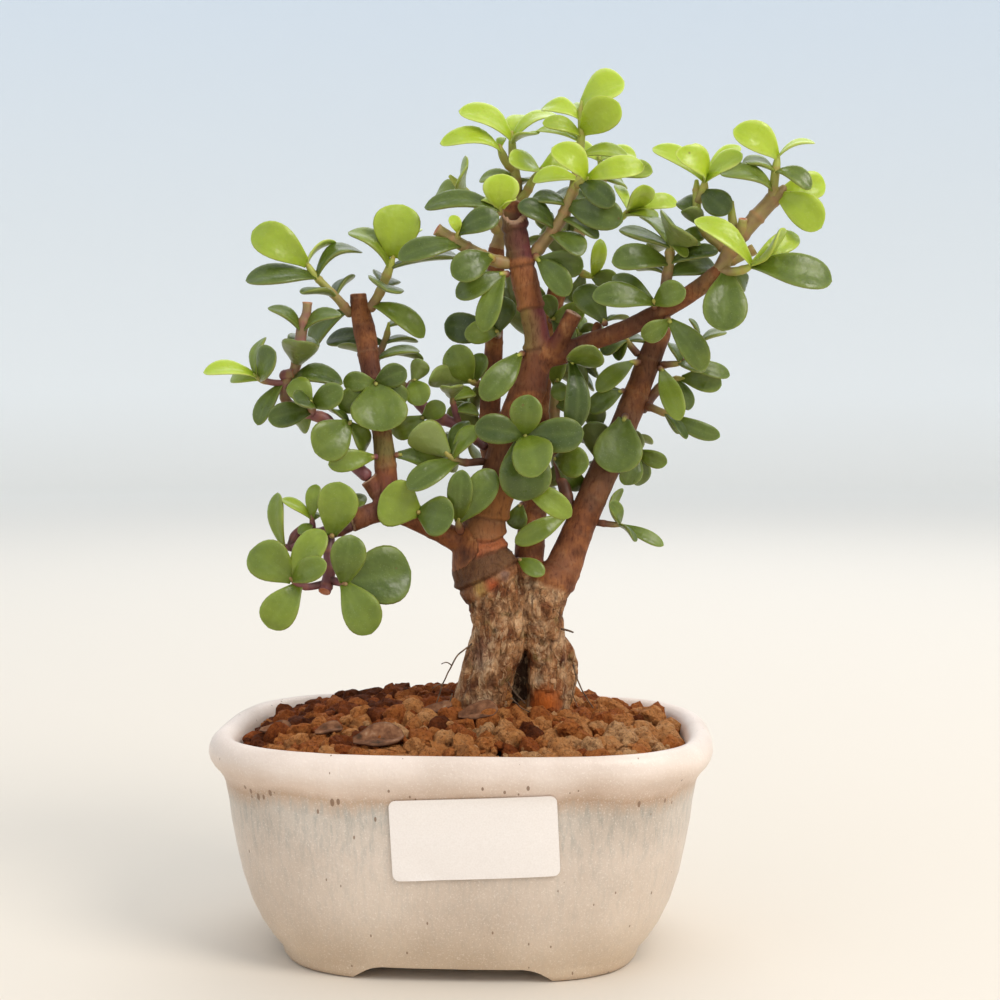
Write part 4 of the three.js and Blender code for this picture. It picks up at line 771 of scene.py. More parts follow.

# Stains and bare places of the bark, and near-black painted shade in the groove between the legs:
# (across, up, depth, reach, colour)
PATCHES = [
    (4, 88.4, -8, 2.6, "b4924e"), (7, 89.6, -8, 2.2, "b5562c"), (10, 92, -6.5, 2.2, "7d5f55"),
    # The near-black patches near 14 across, 57 to 73 up, are painted shade in the groove between the legs
    (20.5, 60, -4, 5.4, "bc5e1c"), (19.6, 58.6, -4.4, 3, "b86020"), (14, 57, 3, 6, "24150e"),
    (14.2, 66, 3, 5.5, "2b1a12"), (14.8, 73, 1, 3, "2b1a12"), (8, 78, -7, 1.2, "2c1c14"),
    (8, 57, -6, 4, "8f4c22"), (2.5, 72, -8, 6, "7c5444"), (17.5, 68, -9, 4.6, "955c3a"),
    (23.6, 64, -6, 4.6, "c07848"), (24, 95, -2, 6, "7a4c34"), (15.5, 152, -5.5, 6, "77603a"),
    (21, 152, -3, 4.5, "6a3236"), (15, 165, -6, 6, "8a5630"), (12.6, 176, -6, 5, "5b3434"),
    (12.6, 183, -6, 3.6, "a8623a"), (13, 180.5, -8.5, 2, "d2a78c"), (44, 156, -9, 13, "54301f"),
    (60, 165, -14, 5, "6f5a36"), (28, 150, -4, 8, "582f1f"), (27.6, 158, -6, 2.2, "c98f72"),
    (-19.5, 124, -8, 6, "6c6434"), (-19, 115, -8, 5, "7b4434"), (-22, 142, -3, 9, "5a3122"),
    (-26.2, 162.6, 4, 2.2, "a45a3c"), (-20, 109, -9, 8, "70463a"), (34, 117, 4, 12, "6c4a34"),
    (46, 146, 12, 10, "5b3a26"), (12, 122, -6, 12, "6f4629"), (40, 130, 8, 9, "74503a"),
]
# The trunk's colour from fold to fold: (lower fold, upper fold, colour on the left, on the right)
TRUNK_BANDS = [
    (TRUNK_FOLDS[0], TRUNK_FOLDS[1], "56371f", "62432a"),
    (TRUNK_FOLDS[1], TRUNK_FOLDS[2], "ac623c", "a8603c"),
    (TRUNK_FOLDS[2], TRUNK_FOLDS[3], "7a5230", "8c5a34"),
    (TRUNK_FOLDS[3], [116, 0, 0], "86592e", "98622f"),
    ([138, 0, 0], TRUNK_FOLDS[5], "7c4c2e", "5f3422"),
    (TRUNK_FOLDS[5], TRUNK_FOLDS[6], "8c7642", "6a2a36"),
    (TRUNK_FOLDS[6], [170.5, 0, 0], "a46c40", "7a4428"),
    ([170.5, 0, 0], [182, 0, 0], "6f5c36", "5b2a30"),
]
tints = np.zeros((len(where), 3))
weight = np.full(len(where), 1e-4)
patch_edge = 0.25 * unevenness(where, 1.6, 39)
for across, level, depth, reach, code in PATCHES:
    gap = np.linalg.norm(where - placed(across, level, depth), axis=1) / reach
    share = np.clip(1.35 - 1.35 * gap + patch_edge, 0, 1)
    tints += share[:, None] * np.array(colour(code)[:3])
    weight += share
sideways = (where[:, 0] - line[nearest, 0]) / thickness
right = np.clip(0.5 + 0.8 * sideways + 0.4 * unevenness(where, 2.5, 45), 0, 1)[:, None]
blur = 0.6 * unevenness(where * [1, 1, 0.5], 2.2, 46)
for low, high, left_code, right_code in TRUNK_BANDS:
    share = 1.3 * trunk * np.clip(above_fold(low) / 0.9 + 0.5 + blur, 0, 1) \
        * np.clip(0.5 - above_fold(high) / 0.9 - blur, 0, 1)
    tone = (1 - right) * np.array(colour(left_code)[:3]) + right * np.array(colour(right_code)[:3])
    tints += share[:, None] * tone
    weight += share
tints /= weight[:, None]
# Painted shade: the root deep in the groove between the legs is painted near black, most on its front
groove_shade = (limb == ROOT_BETWEEN) * np.clip(0.6 - (where[:, 1] - line[nearest, 1]) / thickness, 0, 1)
for share, code in ((rim, "c9a386"), (core, "5a3019"), (groove_shade, "1c110a")):
    tints = tints * (1 - share[:, None]) + share[:, None] * np.array(colour(code)[:3])
    weight = np.maximum(weight, 1.2 * share)
shade(mesh, "tint", np.column_stack([tints, np.clip(weight, 0, 1)]))
# The second mark darkens the cracks and, as painted shade, the fold creases
shade(mesh, "bark", np.column_stack([
    old, np.clip(fissure * old + fold_crease_shade, 0, 1), np.clip(rings, 0, 1), np.clip(0.5 + 0.5 * flakes, 0, 1)]))

# Portulacaria bark: matt, in upright strands 0.8 mm wide and patches of 5 mm. The old bark is
# paler, with moss and rust in it; its raised chips are pale flakes brightened by a painted highlight and
# its sunken chips are painted dark as shade in the gaps. The young bark is an even red-brown.
bark, tree, shader = new_material("portulacaria bark", "6f4a2e", 0.6, Specular_IOR_Level=0.22)
place = (add(tree, "TexCoord"), "Object")
marks = add(tree, "Attribute", {"attribute_name": "bark"})
split = add(tree, "SeparateColor", links={0: (marks, "Color")})
tint = add(tree, "Attribute", {"attribute_name": "tint"})
drawn = add(tree, "Mapping", {"Scale": (1, 1, 0.25)}, {"Vector": place})
strands = add(tree, "TexNoise", {"Scale": 1 / (0.7692 * MM), "Detail": 5, "Roughness": 0.65},
              {"Vector": drawn})
wavy = add(tree, "TexNoise", {"Scale": 1 / (4 * MM), "Detail": 2}, {"Vector": place})
bent = add(tree, "VectorMath", {"operation": "MULTIPLY_ADD", 1: (0.004, 0.004, 0.004)},
           {0: (wavy, "Color"), 2: place})
drawn_less = add(tree, "Mapping", {"Scale": (1, 1, 0.5)}, {"Vector": bent})
patches = add(tree, "TexNoise", {"Scale": 1 / (5.263 * MM), "Detail": 5, "Roughness": 0.6},
              {"Vector": place})
young_bark = add(tree, "ValToRGB", {"stops": [
    (0.3, "54301c"), (0.46, "7a482a"), (0.6, "935c33"), (0.78, "bb8c5a")]}, {0: patches})
old_bark = add(tree, "ValToRGB", {"stops": [
    (0.26, "63341a"), (0.38, "905a32"), (0.5, "ba875a"), (0.6, "d8ac80"), (0.74, "f4d8b4")]}, {0: patches})
plate_tone = add(tree, "ValToRGB", {"stops": [(0.2, "8a705a"), (0.75, "ffffff")]}, {0: (marks, "Alpha")})
plated = add(tree, "Mix", {"data_type": "RGBA", "blend_type": "MULTIPLY", 0: 0.6},
             {6: old_bark, 7: plate_tone})
by_age = add(tree, "Mix", {"data_type": "RGBA"}, {0: split, 6: young_bark, 7: (plated, 2)})
moss = add(tree, "TexNoise", {"Scale": 1 / (3.03 * MM), "Detail": 4}, {"Vector": place})
moss_share = add(tree, "MapRange", {"From Min": 0.56, "From Max": 0.7, "To Max": 0.5}, {"Value": moss})
old_moss = add(tree, "Math", {"operation": "MULTIPLY"}, {0: moss_share, 1: split})
mossy = add(tree, "Mix", {"data_type": "RGBA", 7: "6d6a3a"}, {0: old_moss, 6: (by_age, 2)})
rust_share = add(tree, "MapRange", {"From Min": 0.4, "From Max": 0.28, "To Max": 0.5}, {"Value": moss})
old_rust = add(tree, "Math", {"operation": "MULTIPLY"}, {0: rust_share, 1: split})
rusty = add(tree, "Mix", {"data_type": "RGBA", 7: "8a4a28"}, {0: old_rust, 6: (mossy, 2)})
tint_share = add(tree, "Math", {"operation": "MULTIPLY", 1: 0.85}, {0: (tint, "Alpha")})
tinted = add(tree, "Mix", {"data_type": "RGBA"}, {0: tint_share, 6: (rusty, 2), 7: (tint, "Color")})
strand_tone = add(tree, "ValToRGB", {"stops": [(0.3, "a88468"), (0.5, "ffffff"), (0.72, "fff0dc")]},
                  {0: strands})
stranded = add(tree, "Mix", {"data_type": "RGBA", "blend_type": "MULTIPLY", 0: 0.8},
               {6: (tinted, 2), 7: strand_tone})
# Darkens the cracks between plates, partly their own darker bark and partly painted shade, and the fold
# creases with painted shade
crack_and_fold_shade_part = add(tree, "Math", {"operation": "MULTIPLY", 1: 0.6}, {0: (split, 1)})
cracked_and_fold_shaded = add(tree, "Mix", {"data_type": "RGBA", 7: "4a2f20"}, {0: crack_and_fold_shade_part, 6: (stranded, 2)})
chip_place = add(tree, "Mapping", {"Scale": (1, 1, 0.35)}, {"Vector": bent})
chips = add(tree, "TexNoise", {"Scale": 1 / (1.786 * MM), "Detail": 7, "Roughness": 0.7},
            {"Vector": chip_place})
# Painted highlight: where the chip pattern stands highest the old bark is painted pale, on pale flakes
pale_flake_highlight_share = add(tree, "MapRange", {"From Min": 0.53, "From Max": 0.6, "To Max": 0.42}, {"Value": chips})
flaky = add(tree, "MapRange", {"From Min": 0.35, "From Max": 0.9}, {"Value": split})
pale_flake_highlight_part = add(tree, "Math", {"operation": "MULTIPLY"}, {0: pale_flake_highlight_share, 1: flaky})
pale_flakes_and_highlight = add(tree, "Mix", {"data_type": "RGBA", 7: "e2bd92"}, {0: pale_flake_highlight_part, 6: (cracked_and_fold_shaded, 2)})
# Painted shade: where the chip pattern lies lowest the old bark is painted dark, in the gaps between flakes
flake_gap_shade_share = add(tree, "MapRange", {"From Min": 0.45, "From Max": 0.4, "To Max": 0.42}, {"Value": chips})
flake_gap_shade_part = add(tree, "Math", {"operation": "MULTIPLY"}, {0: flake_gap_shade_share, 1: split})
flake_gap_shaded = add(tree, "Mix", {"data_type": "RGBA", 7: "452612"}, {0: flake_gap_shade_part, 6: (pale_flakes_and_highlight, 2)})
ring_share = add(tree, "Math", {"operation": "MULTIPLY", 1: 0.22}, {0: (split, 2)})
ringed = add(tree, "Mix", {"data_type": "RGBA", 7: "9a7856"}, {0: ring_share, 6: (flake_gap_shaded, 2)})
tree.links.new(ringed.outputs[2], shader.inputs["Base Color"])
scales = add(tree, "TexVoronoi", {"feature": "DISTANCE_TO_EDGE", "Scale": 1 / (1.5625 * MM)},
             {"Vector": drawn_less})
scale_edge = add(tree, "MapRange", {"From Max": 0.12}, {"Value": scales})
scale_part = add(tree, "Math", {"operation": "MULTIPLY"}, {0: split, 1: scale_edge})
scale_bump = add(tree, "Bump", {"Strength": 0.6, "Distance": 0.0005}, {"Height": scale_part})
strand_bump = add(tree, "Bump", {"Strength": 0.55, "Distance": 0.0004},
                  {"Height": strands, "Normal": scale_bump})
patch_bump = add(tree, "Bump", {"Strength": 0.35, "Distance": 0.0006},
                 {"Height": patches, "Normal": strand_bump})
chip_height = add(tree, "Math", {"operation": "MULTIPLY"}, {0: chips, 1: split})
chip_bump = add(tree, "Bump", {"Strength": 0.8, "Distance": 0.0012},
                {"Height": chip_height, "Normal": patch_bump})
tree.links.new(chip_bump.outputs[0], shader.inputs["Normal"])
mesh.materials.clear()
mesh.materials.append(bark)
mesh.shade_smooth()
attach(wood, "root")
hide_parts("wood")


# Root hairs: wiry roots and a dead twig, grown out of the trunk just above the soil and now dry.
# Each hair is a row of [across, up, depth, radius]
ROOT_HAIRS = [
  [[2, 74.5, -3.5, 0.22], [-2.4, 71, -6.8, 0.22], [-4.6, 66.5, -7, 0.2], [-6.4, 61, -6.5, 0.2],
    [-7.4, 57, -6.2, 0.16]],
  [[-3.2, 69.4, -6.9, 0.16], [-4.6, 70.4, -7.4, 0.14], [-5.8, 69.6, -7.6, 0.1]],
  [[-5.4, 64.4, -6.9, 0.16], [-7, 64.6, -7.2, 0.12], [-8.2, 63.4, -7.2, 0.1]],
  [[-2.8, 62, -5, 0.2], [-4, 58.5, -6.4, 0.2], [-6.6, 55.6, -7.2, 0.15]],
  [[27.6, 69.5, -0.5, 0.22], [28.6, 65.5, -2.4, 0.2], [30.2, 62, -3, 0.18], [32.6, 58.6, -3.2, 0.14]],
  [[28.4, 66.5, -1.8, 0.15], [27.4, 62.5, -3.2, 0.13], [28.4, 58.8, -3.6, 0.1]],
  [[24.6, 78.4, -3, 0.3], [26.4, 78, -4.4, 0.26], [27.4, 77.6, -5, 0.2]],
  [[12, 61, -5.2, 0.18], [14, 58.4, -5.6, 0.16], [17, 57.2, -6, 0.14]],
  [[10.6, 66, -4.6, 0.16], [13, 62.2, -4.6, 0.15], [15.6, 59.4, -5, 0.12]],
]
hairs = []
for rows in ROOT_HAIRS:
    path = smooth_path(rows, 0.6, 0.9)
    path[:, :3] += 0.3 * np.stack([unevenness(path[:, :3], 2.5, 60 + axis) for axis in range(3)], axis=1)
    hairs.append(tube(path, 6)[:2])
# Dry root: dull, dark and pale brown in turns
dry_root, tree, shader = new_material("dry root", "4a3626", 0.8)
place = (add(tree, "TexCoord"), "Object")
fibre = add(tree, "TexNoise", {"Scale": 1 / (1.4286 * MM), "Detail": 3}, {"Vector": place})
tone = add(tree, "ValToRGB", {"stops": [(0.3, "2e2219"), (0.7, "7a5d42")]}, {0: fibre})
tree.links.new(tone.outputs[0], shader.inputs["Base Color"])
root_hairs = piece("root_hairs", *joined(hairs), dry_root)
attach(root_hairs, "root")


# The shoots: each twig carries thick, glossy, obovate leaves of 8 to 20 mm in opposite pairs.
# Old leaves are dark green; the soft ends of the twigs and their small leaves are yellow-green.
#
# A row is a twig: [its shoot's name, its stem in rows of [across, up, depth, radius], its leaves].
# A leaf is [share of the twig below it, its tip's across, up and depth, width, facing, bend]:
# facing 0 keeps its face to the twig's tip, 1 turns it to the viewer and -1 its back.
SHOOTS = [
  ["left_crown_outer", [[-28.4, 157.6, -5, 1.4], [-31, 160.8, -6.5, 1.2], [-34.5, 164.3, -7.5, 1.1],
    [-37.5, 167.5, -8, 1], [-39.2, 170.3, -8, 0.8]], [[0.05, -38.3, 148.6, 2, 6.5, 0.5],
    [0.32, -40.3, 162.2, -14, 6, 0.3], [0.32, -27.8, 166.6, 0, 6, 0], [0.72, -54, 165.4, -11, 7.5, 0.45],
    [0.72, -25.2, 172.6, -5, 7.5, 0.35, 0.3], [1, -52.3, 177.6, -10, 9, 0.7, 0.2],
    [1, -31.5, 174.8, -5, 6, 0, 0.2]]],
  ["left_crown_inner", [[-23, 159, -5, 1.4], [-21, 162, -6, 1.4], [-18.6, 168, -7, 1.3],
    [-17.2, 172, -7.5, 0.8]], [[0.05, -9.8, 152.2, -9, 7, 0.5], [0.4, -19, 163.2, -19, 9.5, 0, 0.05],
    [0.4, -20.5, 166, 5, 8, 0], [0.75, -29, 176.7, -8, 7, 0.4, 0.25], [0.75, -1.3, 170.6, -3, 7, 0, 0.1],
    [1, -15, 184.2, -9.5, 12, 1], [0.95, -22, 176.8, -3, 4.5, 0, 0.3],
    [0.95, -10.3, 178, -3, 4.5, 0, 0.2]]],
  ["left_branch", [[-24.6, 117.3, 1.4, 1.8], [-27.5, 119.8, 2, 1.8], [-30, 123, 1.5, 1.8],
    [-32, 127, 1, 1.7], [-34, 131.3, 0, 1.6], [-38, 132.2, -1, 1.5], [-42, 133.5, -1, 1.4],
    [-44.9, 136.3, -1, 1.3], [-44.3, 140.3, -1, 1.4], [-42, 143.3, -1, 1.4], [-40.8, 149.4, -1, 1.5],
    [-40, 155, -1, 1.6], [-39, 157, -1, 1.25], [-38.8, 160.2, -1, 1.2]],
    [[0.71, -41.3, 150.6, -14, 8.7, 0, 0.05], [0.71, -40, 152, 8, 8, 0, 0.1],
    [0.86, -48.6, 158.8, -3, 5.5, 0.4, 0.2], [0.86, -30.4, 157.2, -1, 5.5, 0.4, 0.2],
    [0.58, -30.2, 140, -4, 7, 0.4, 0.25]]],
  ["left_branch", [[-44.5, 142, -1, 1.7], [-42, 142.5, -2, 1.3]], []],
  ["left_branch", [[-38, 132.5, -1, 1.2], [-37.8, 134, -5, 1.1], [-38.2, 135.6, -8, 0.8]],
    [[0.3, -48.7, 131, -7, 6, 0.7], [0.7, -30.1, 138.8, -9, 6, 0.7], [0.7, -42, 135.6, -14, 6, 0.1],
    [1, -42.6, 140.9, -7, 6.5, 0.7], [0.1, -41.2, 129.2, 3, 5.5, 0.4]]],
  ["left_branch", [[-31.8, 126.5, 0, 1.1], [-29.5, 128.8, -2.5, 1], [-28.2, 130.6, -4, 0.8]],
    [[0.9, -37.2, 122.8, -9, 10, 0.95, 0.05], [0.9, -24.5, 124, 3, 6, 0.5], [1, -33.5, 133.3, 3, 4, 0]]],
  ["left_branch", [[-44.8, 140, -1, 1], [-48, 140.3, -2, 0.9], [-50.8, 141, -3, 0.9],
    [-52.3, 142.3, -4, 0.7]], [[0.05, -50.9, 129.3, -4, 5.5, 0.5], [0.75, -58, 141.9, 3, 5, 0.2],
    [0.75, -46.5, 147.9, -10, 8, 0.45, 0.1], [1, -64.8, 142.6, -7, 6, 0.15, 0.15],
    [1, -49.1, 151.4, 0, 5, 0.1, 0.15]]],
  ["stub_front", [[-22, 140, -7.3, 1.1], [-21.8, 139.9, -9.5, 0.9]], [[0.4, -30, 140.6, -10, 5.5, 0.6],
    [0.4, -14.2, 143.4, -10, 6, 0.6], [1, -20.5, 128.4, -15, 13.5, 0.95, 0.05],
    [0.2, -31, 133.8, -9, 6, 0.6], [0.2, -14, 136, -8, 6, 0.5]]],
  ["stub_behind", [[-22.2, 145, -1.6, 1.1], [-20.5, 148.5, 2, 1], [-19, 152, 4, 0.9],
    [-18.6, 155, 5, 0.7]], [[0.1, -31.3, 149.4, 1, 5.5, 0.4], [0.1, -11, 148.1, -1, 5.5, 0.5],
    [0.25, -10, 146, 3, 4, 0.3], [0.55, -34, 150.5, 7, 6.5, 0.6], [0.55, -11.5, 150.5, 8, 5, 0.3],
    [1, -13.5, 154.5, 10, 5, 0.3]]],
  ["stub_leaf_left", [[-21.4, 121.8, -5.5, 1], [-22.9, 121.7, -7.5, 0.9]],
    [[0.8, -33.9, 119.7, -11, 5.5, 0.35]]],
  ["stub_leaf_right", [[-16.7, 122.2, -5.2, 1], [-15.7, 122.3, -5.5, 0.9]],
    [[0.8, -4.2, 119.9, 5, 7, 0.4]]],
  ["mid_left", [[5, 124.5, -1, 1.3], [-1, 129.5, 2, 1.5], [-6, 131.5, 3, 1.7], [-10, 134, 3, 1.8],
    [-12.2, 136.4, 3, 1.6], [-15.3, 140.5, 2, 1]], [[1, -20.5, 137, 4, 5.5, 0.6]]],
  ["mid_left", [[-1.2, 129.8, 2, 1], [-2.8, 135.8, 0, 0.8], [-3, 137.2, -2, 0.7]],
    [[0.95, -3.3, 139.4, -12, 6.2, 0, 0.05], [0.8, 2.6, 138, 4, 4.5, 0.2], [0.4, 3.8, 133, 4, 5, 0.4]]],
  ["mid_left", [[-13.8, 138.5, 2.5, 1], [-13.2, 140.3, -0.5, 0.9], [-12.2, 140.9, -2, 0.8]],
    [[0.9, -10.2, 135, -6, 6.5, 0.95], [0.9, -10, 145.8, -3, 5.5, -0.7]]],
  ["mid_left", [[-8.5, 132.5, 2, 0.9], [-10.4, 131.4, -1.5, 0.8]], [[1, -4.8, 134.9, -3.5, 5, 0.5],
    [1, -17.9, 127.6, 0, 5.5, 0.6]]],
  ["centre_left", [[4.2, 139.8, 6.6, 1.1], [2.6, 140.3, 2, 1], [1.5, 140.8, -1, 0.9]],
    [[0.9, -8.6, 141.6, -8, 7, -0.5], [1, -2.7, 149.4, -4, 8, 0.9], [0.6, 4.8, 147.5, 1, 5, 0.5]]],
  ["centre_left_low", [[4.6, 120.6, -3, 1.1], [0.5, 120.2, -6, 1.05], [-2.6, 121, -8, 1],
    [-4.4, 122.8, -9, 0.9]], [[1, -12.8, 128.4, -12, 10, -0.35], [0.8, 3.6, 129.2, -9, 5.5, 0.4],
    [0.85, 1, 130.8, -5, 5, 0.3], [0.65, -14, 113.4, -14, 7, 0.5]]],
  ["low_front_left", [[-11.2, 107.6, -5.2, 1.1], [-11.3, 107.9, -7.5, 1]],
    [[1, -20.7, 112.3, -10, 11.3, 0.95, 0.05], [1, -2.6, 106.2, -11, 10.2, 0.9, 0.08]]],
  ["low_front_mid", [[-0.6, 102.5, -3.2, 1.2], [-1.4, 105, -7, 1], [-1.2, 106.3, -8.5, 0.9]],
    [[0.8, -0.3, 118.3, -12, 6.5, 0.5], [1, 7.6, 118.3, -10, 8.2, 0.9]]],
  ["low_left_branch", [[-28.9, 104.8, -3.5, 2.2], [-31, 103.9, -3.5, 2.2], [-35, 102.5, -3.5, 2],
    [-40, 100.4, -3.5, 1.9], [-43.2, 98.8, -3.5, 1.7]], [[0.28, -24.8, 112, 3, 5, 0.6]]],
  ["low_left_branch", [[-43, 99.8, -3.5, 1.4], [-42, 102.5, -3.5, 1.4], [-40.6, 104.3, -3.5, 1.1]], []],
  ["low_left_branch", [[-43, 98.9, -3.5, 1.1], [-46, 99.5, -3.5, 0.9]], [[1, -46.6, 112.7, -4, 6, 0.5]]],
  ["low_left_branch", [[-38, 102.5, -4, 1], [-37.8, 105, -4.5, 0.9], [-38.2, 107, -5, 0.8]],
    [[0.5, -41.2, 102.6, -8, 3, 0.6], [0.7, -36.3, 107.9, -2, 3, 0.6], [1, -45.6, 111, -6, 4, 0.3],
    [1, -36.8, 114.8, -4, 4, 0.5]]],
  ["low_left_branch", [[-33.3, 102.8, -4.5, 1.2], [-33, 101.8, -7.5, 1]],
    [[1, -31, 115.3, -9, 10, 0.95, 0.05]]],
  ["low_left_branch", [[-33.8, 102, -4, 1.6], [-33.7, 96, -6, 1.6], [-33.8, 91.5, -7.5, 1.7],
    [-35, 87.9, -9.5, 1.7]], []],
  ["low_left_branch", [[-33.6, 90.8, -8, 1.2], [-31, 90.2, -10, 1.1], [-29.6, 89.8, -12, 0.9]],
    [[1, -28.3, 102.2, -13, 8.5, 0.95], [1, -23.3, 77.3, -14, 9.3, 0.95],
    [0.7, -13.2, 93, -8, 14, 0.95, 0.03]]],
  ["low_left_branch", [[-34.2, 90, -8, 1.1], [-39.5, 88.9, -10, 1], [-42.6, 90.3, -11.5, 0.9],
    [-43.6, 91.3, -12.5, 0.8]], [[0.7, -49, 78.8, -12, 8.8, 0.85], [0.95, -53.6, 98, -14, 9.5, 0.9],
    [0.95, -34.3, 95, -16, 6.5, 0.8], [1, -35, 103.2, -12, 7.5, 0.7]]],
  ["shoulder", [[10.6, 169.9, -4.6, 1.8], [7, 170.6, -6, 1.7], [2, 173, -7, 1.7], [-2, 175.3, -7.5, 1.7],
    [-6.6, 178.2, -8, 1.6]], [[0.62, -16.1, 171.2, -13, 6.5, 0.5]]],
  ["shoulder", [[-1.6, 175.8, -8, 1.1], [-1.1, 178, -9.5, 0.8]], [[0.7, 8.7, 181.8, -11, 7, 0.45, 0.15],
    [1, -3, 181.6, -10, 3, 0.7, 0.3]]],
  ["shoulder", [[7.3, 170.8, -7, 1.1], [6.6, 171.8, -9, 0.9]], [[1, -2.9, 166.6, -13, 8, 0.9]]],
  ["trunk_top", [[9, 182.3, -5.5, 1], [9.2, 184, -6.5, 0.8]], [[0.4, -9.5, 183.4, -5, 6.5, 0.3],
    [1, 9.8, 191.9, -9, 9.3, 1], [1, 4.4, 185.6, -4, 4, 0.3, 0.3], [1, 13.3, 185.6, -7, 3, 0.2, 0.3]]],
  ["trunk_left_hang", [[10.8, 167.2, -5, 1.1], [9.2, 167.2, -6, 1]], [[0.6, 5, 152.7, -9, 6, 0.7],
    [1, -1.7, 161.4, -7, 6, 0.4]]],
  ["top_centre", [[8.3, 173.8, 5.4, 2], [10, 179, 5, 1.9], [12.2, 184, 5, 1.8], [13.5, 188, 5, 1.6],
    [12.9, 192, 4.5, 1.4], [12.2, 197, 4, 1.3], [12, 202, 3.5, 0.9]], [[0.93, -1, 207.2, -1, 8, 0.5, 0.2],
    [0.93, 23.8, 206.2, 4, 6.5, 0.4, 0.25], [0.9, 18.6, 201.3, -4, 5.5, 0.2],
    [0.62, 4, 190.4, 8, 5.5, 0.4], [0.9, 14, 206, 11, 5, 0.5]]],
  ["top_centre", [[12.6, 192.6, 4.5, 1.2], [10.4, 194.8, 3, 1.3], [8.9, 198.6, 2, 1.2]],
    [[0.8, -5.4, 199.8, -3, 6.5, 0.45, 0.25], [1, 9.8, 200.9, 5, 2.6, 0.5]]],
  ["top_centre", [[9.2, 176.8, 5, 1.4], [5.5, 181.5, 3, 1.3], [1, 187, 1, 1.2], [-3.2, 191.2, 0, 1]],
    [[0.72, 1.6, 193.9, -9, 9.5, 0.45], [0.72, -6.3, 187.6, 7, 5.5, 0.4]]],
  ["top_centre", [[12.5, 184, 5, 1.4], [15.6, 187, 4, 1.3], [17, 190, 3, 1.2], [19.6, 193, 2, 1]],
    [[1, 11.3, 194.7, -6, 7, 0.3], [1, 27, 196, 8, 6.5, 0.4], [0.7, 10.5, 187, 12, 6, 0.4]]],
  ["fork", [[17.6, 172, -3.2, 1.8], [19.5, 174.6, -3.2, 1.8], [22.5, 178, -4, 1.8], [24.6, 181, -4, 1.7],
    [26.5, 186, -4.5, 1.6], [28.9, 191.4, -5, 1.1]], [[0.36, 13.9, 184.4, -9, 7, 0.5],
    [0.5, 33.5, 176.2, -9, 5, 0.5], [0.28, 29.3, 171.4, -12, 6.5, 0.6], [0.66, 39.6, 179.8, -10, 8, 0.8],
    [0.66, 17.2, 186, -4, 6, 0.4], [0.95, 17.2, 190.2, -4, 6, 0.45]]],
  ["fork_low", [[18, 171.5, -4.6, 1.1], [18.9, 170.3, -6.5, 0.9]], [[1, 26.2, 161.8, -10, 6.5, 0.6],
    [0.8, 29.8, 169, -6, 6.5, 0.6]]],
  ["fork", [[28.2, 189, -5.4, 1.1], [31, 190.8, -8, 1]], [[1, 22, 198.2, -12, 6.5, 0.5, 0.25],
    [1, 44.8, 193.7, -10, 6, 0.3, 0.2], [0.3, 37.2, 184.2, -13, 7, 0.75]]],
  ["fork", [[27.2, 188, -4.2, 1.3], [28.4, 194, -2.5, 1.3], [29.3, 201, -2.5, 1.1], [29.2, 206, -2.5, 1],
    [29.3, 209.5, -2.5, 0.9]], [[1, 39.6, 214.6, -6, 10, 0.55], [0.66, 38.6, 209.2, -9, 8.8, 0.9],
    [0.8, 19.4, 207.9, 0, 6, 0.5, 0.2], [0.62, 19.7, 204.3, -6, 5.5, 0.5, 0.15],
    [0.55, 18.3, 203, 4, 5, 0.4, 0.1], [0.38, 40.9, 195.9, -3, 5, 0.5, 0.2],
    [0.9, 25.8, 208, 5, 4, 0.5]]],
  ["centre_behind", [[8.4, 152, 5.7, 1.1], [8.6, 152.6, 2.5, 1], [8.2, 153, -0.5, 0.9]],
    [[0.6, -4.7, 154.8, 4, 8, 0.85], [1, 0.4, 152.3, -5, 6.5, 0.7], [0.8, 10.5, 161.5, 1, 7, 0.8]]],
  ["trunk_leaf_left", [[14.6, 147.4, -4, 1], [13.6, 147, -6, 0.9]], [[0.9, 4.6, 136.1, -12, 8, 0.5]]],
  ["trunk_front", [[14.5, 126.8, -7.2, 1.2], [15.5, 127, -10, 1]], [[0.7, 2.7, 129.2, -13, 7.8, 0.85],
    [0.7, 30, 127.7, -12, 9, 0.7], [1, 16.2, 137.2, -13, 8, 0.95], [1, 18.5, 117, -19, 10.5, 0.8],
    [0.2, 15, 110.8, -11, 12.5, 0.85]]],
  ["trunk_leaf_low", [[13.6, 115.4, -4.6, 1], [15, 115.4, -6, 0.9]], [[0.9, 26.9, 107, -8, 6, 0.6]]],
  ["limb_leaf_low", [[26.3, 107.4, -1.2, 1], [25, 106.8, -2, 0.9]], [[0.9, 13, 100.2, -6, 6, 0.5]]],
  ["back_stem_leaf", [[14.6, 110, 4.6, 0.9], [13.9, 109.5, 3.5, 0.8]], [[0.9, 13.2, 103.6, 3, 5.5, 0.7]]],
  ["crotch_leaf", [[13.6, 96, -1.6, 0.8], [14.2, 95.9, -3, 0.8]], [[0.9, 20.1, 92.2, -6, 4.5, 0.6]]],
  ["back_right", [[27, 106.8, 5.2, 1.8], [25, 115, 6.5, 1.8], [23.3, 124, 7.4, 1.6], [22.6, 134, 8, 1.5],
    [23, 140, 8, 1.2]], [[1, 24.2, 147, 6, 5, 0.4], [0.85, 28.5, 134, 7, 6, 0.6]]],
  ["back_right", [[23.6, 121.8, 6.5, 1], [22.8, 121.2, 2, 0.9]], [[0.9, 31, 119.8, -3, 7.5, 0.85],
    [0.4, 29.6, 113.6, 9, 5, 0.7]]],
  ["back_right", [[22.8, 138, 7.5, 0.9], [23.4, 141, 4.5, 0.8]], [[1, 24.4, 135.8, 1.5, 5, 0.7]]],
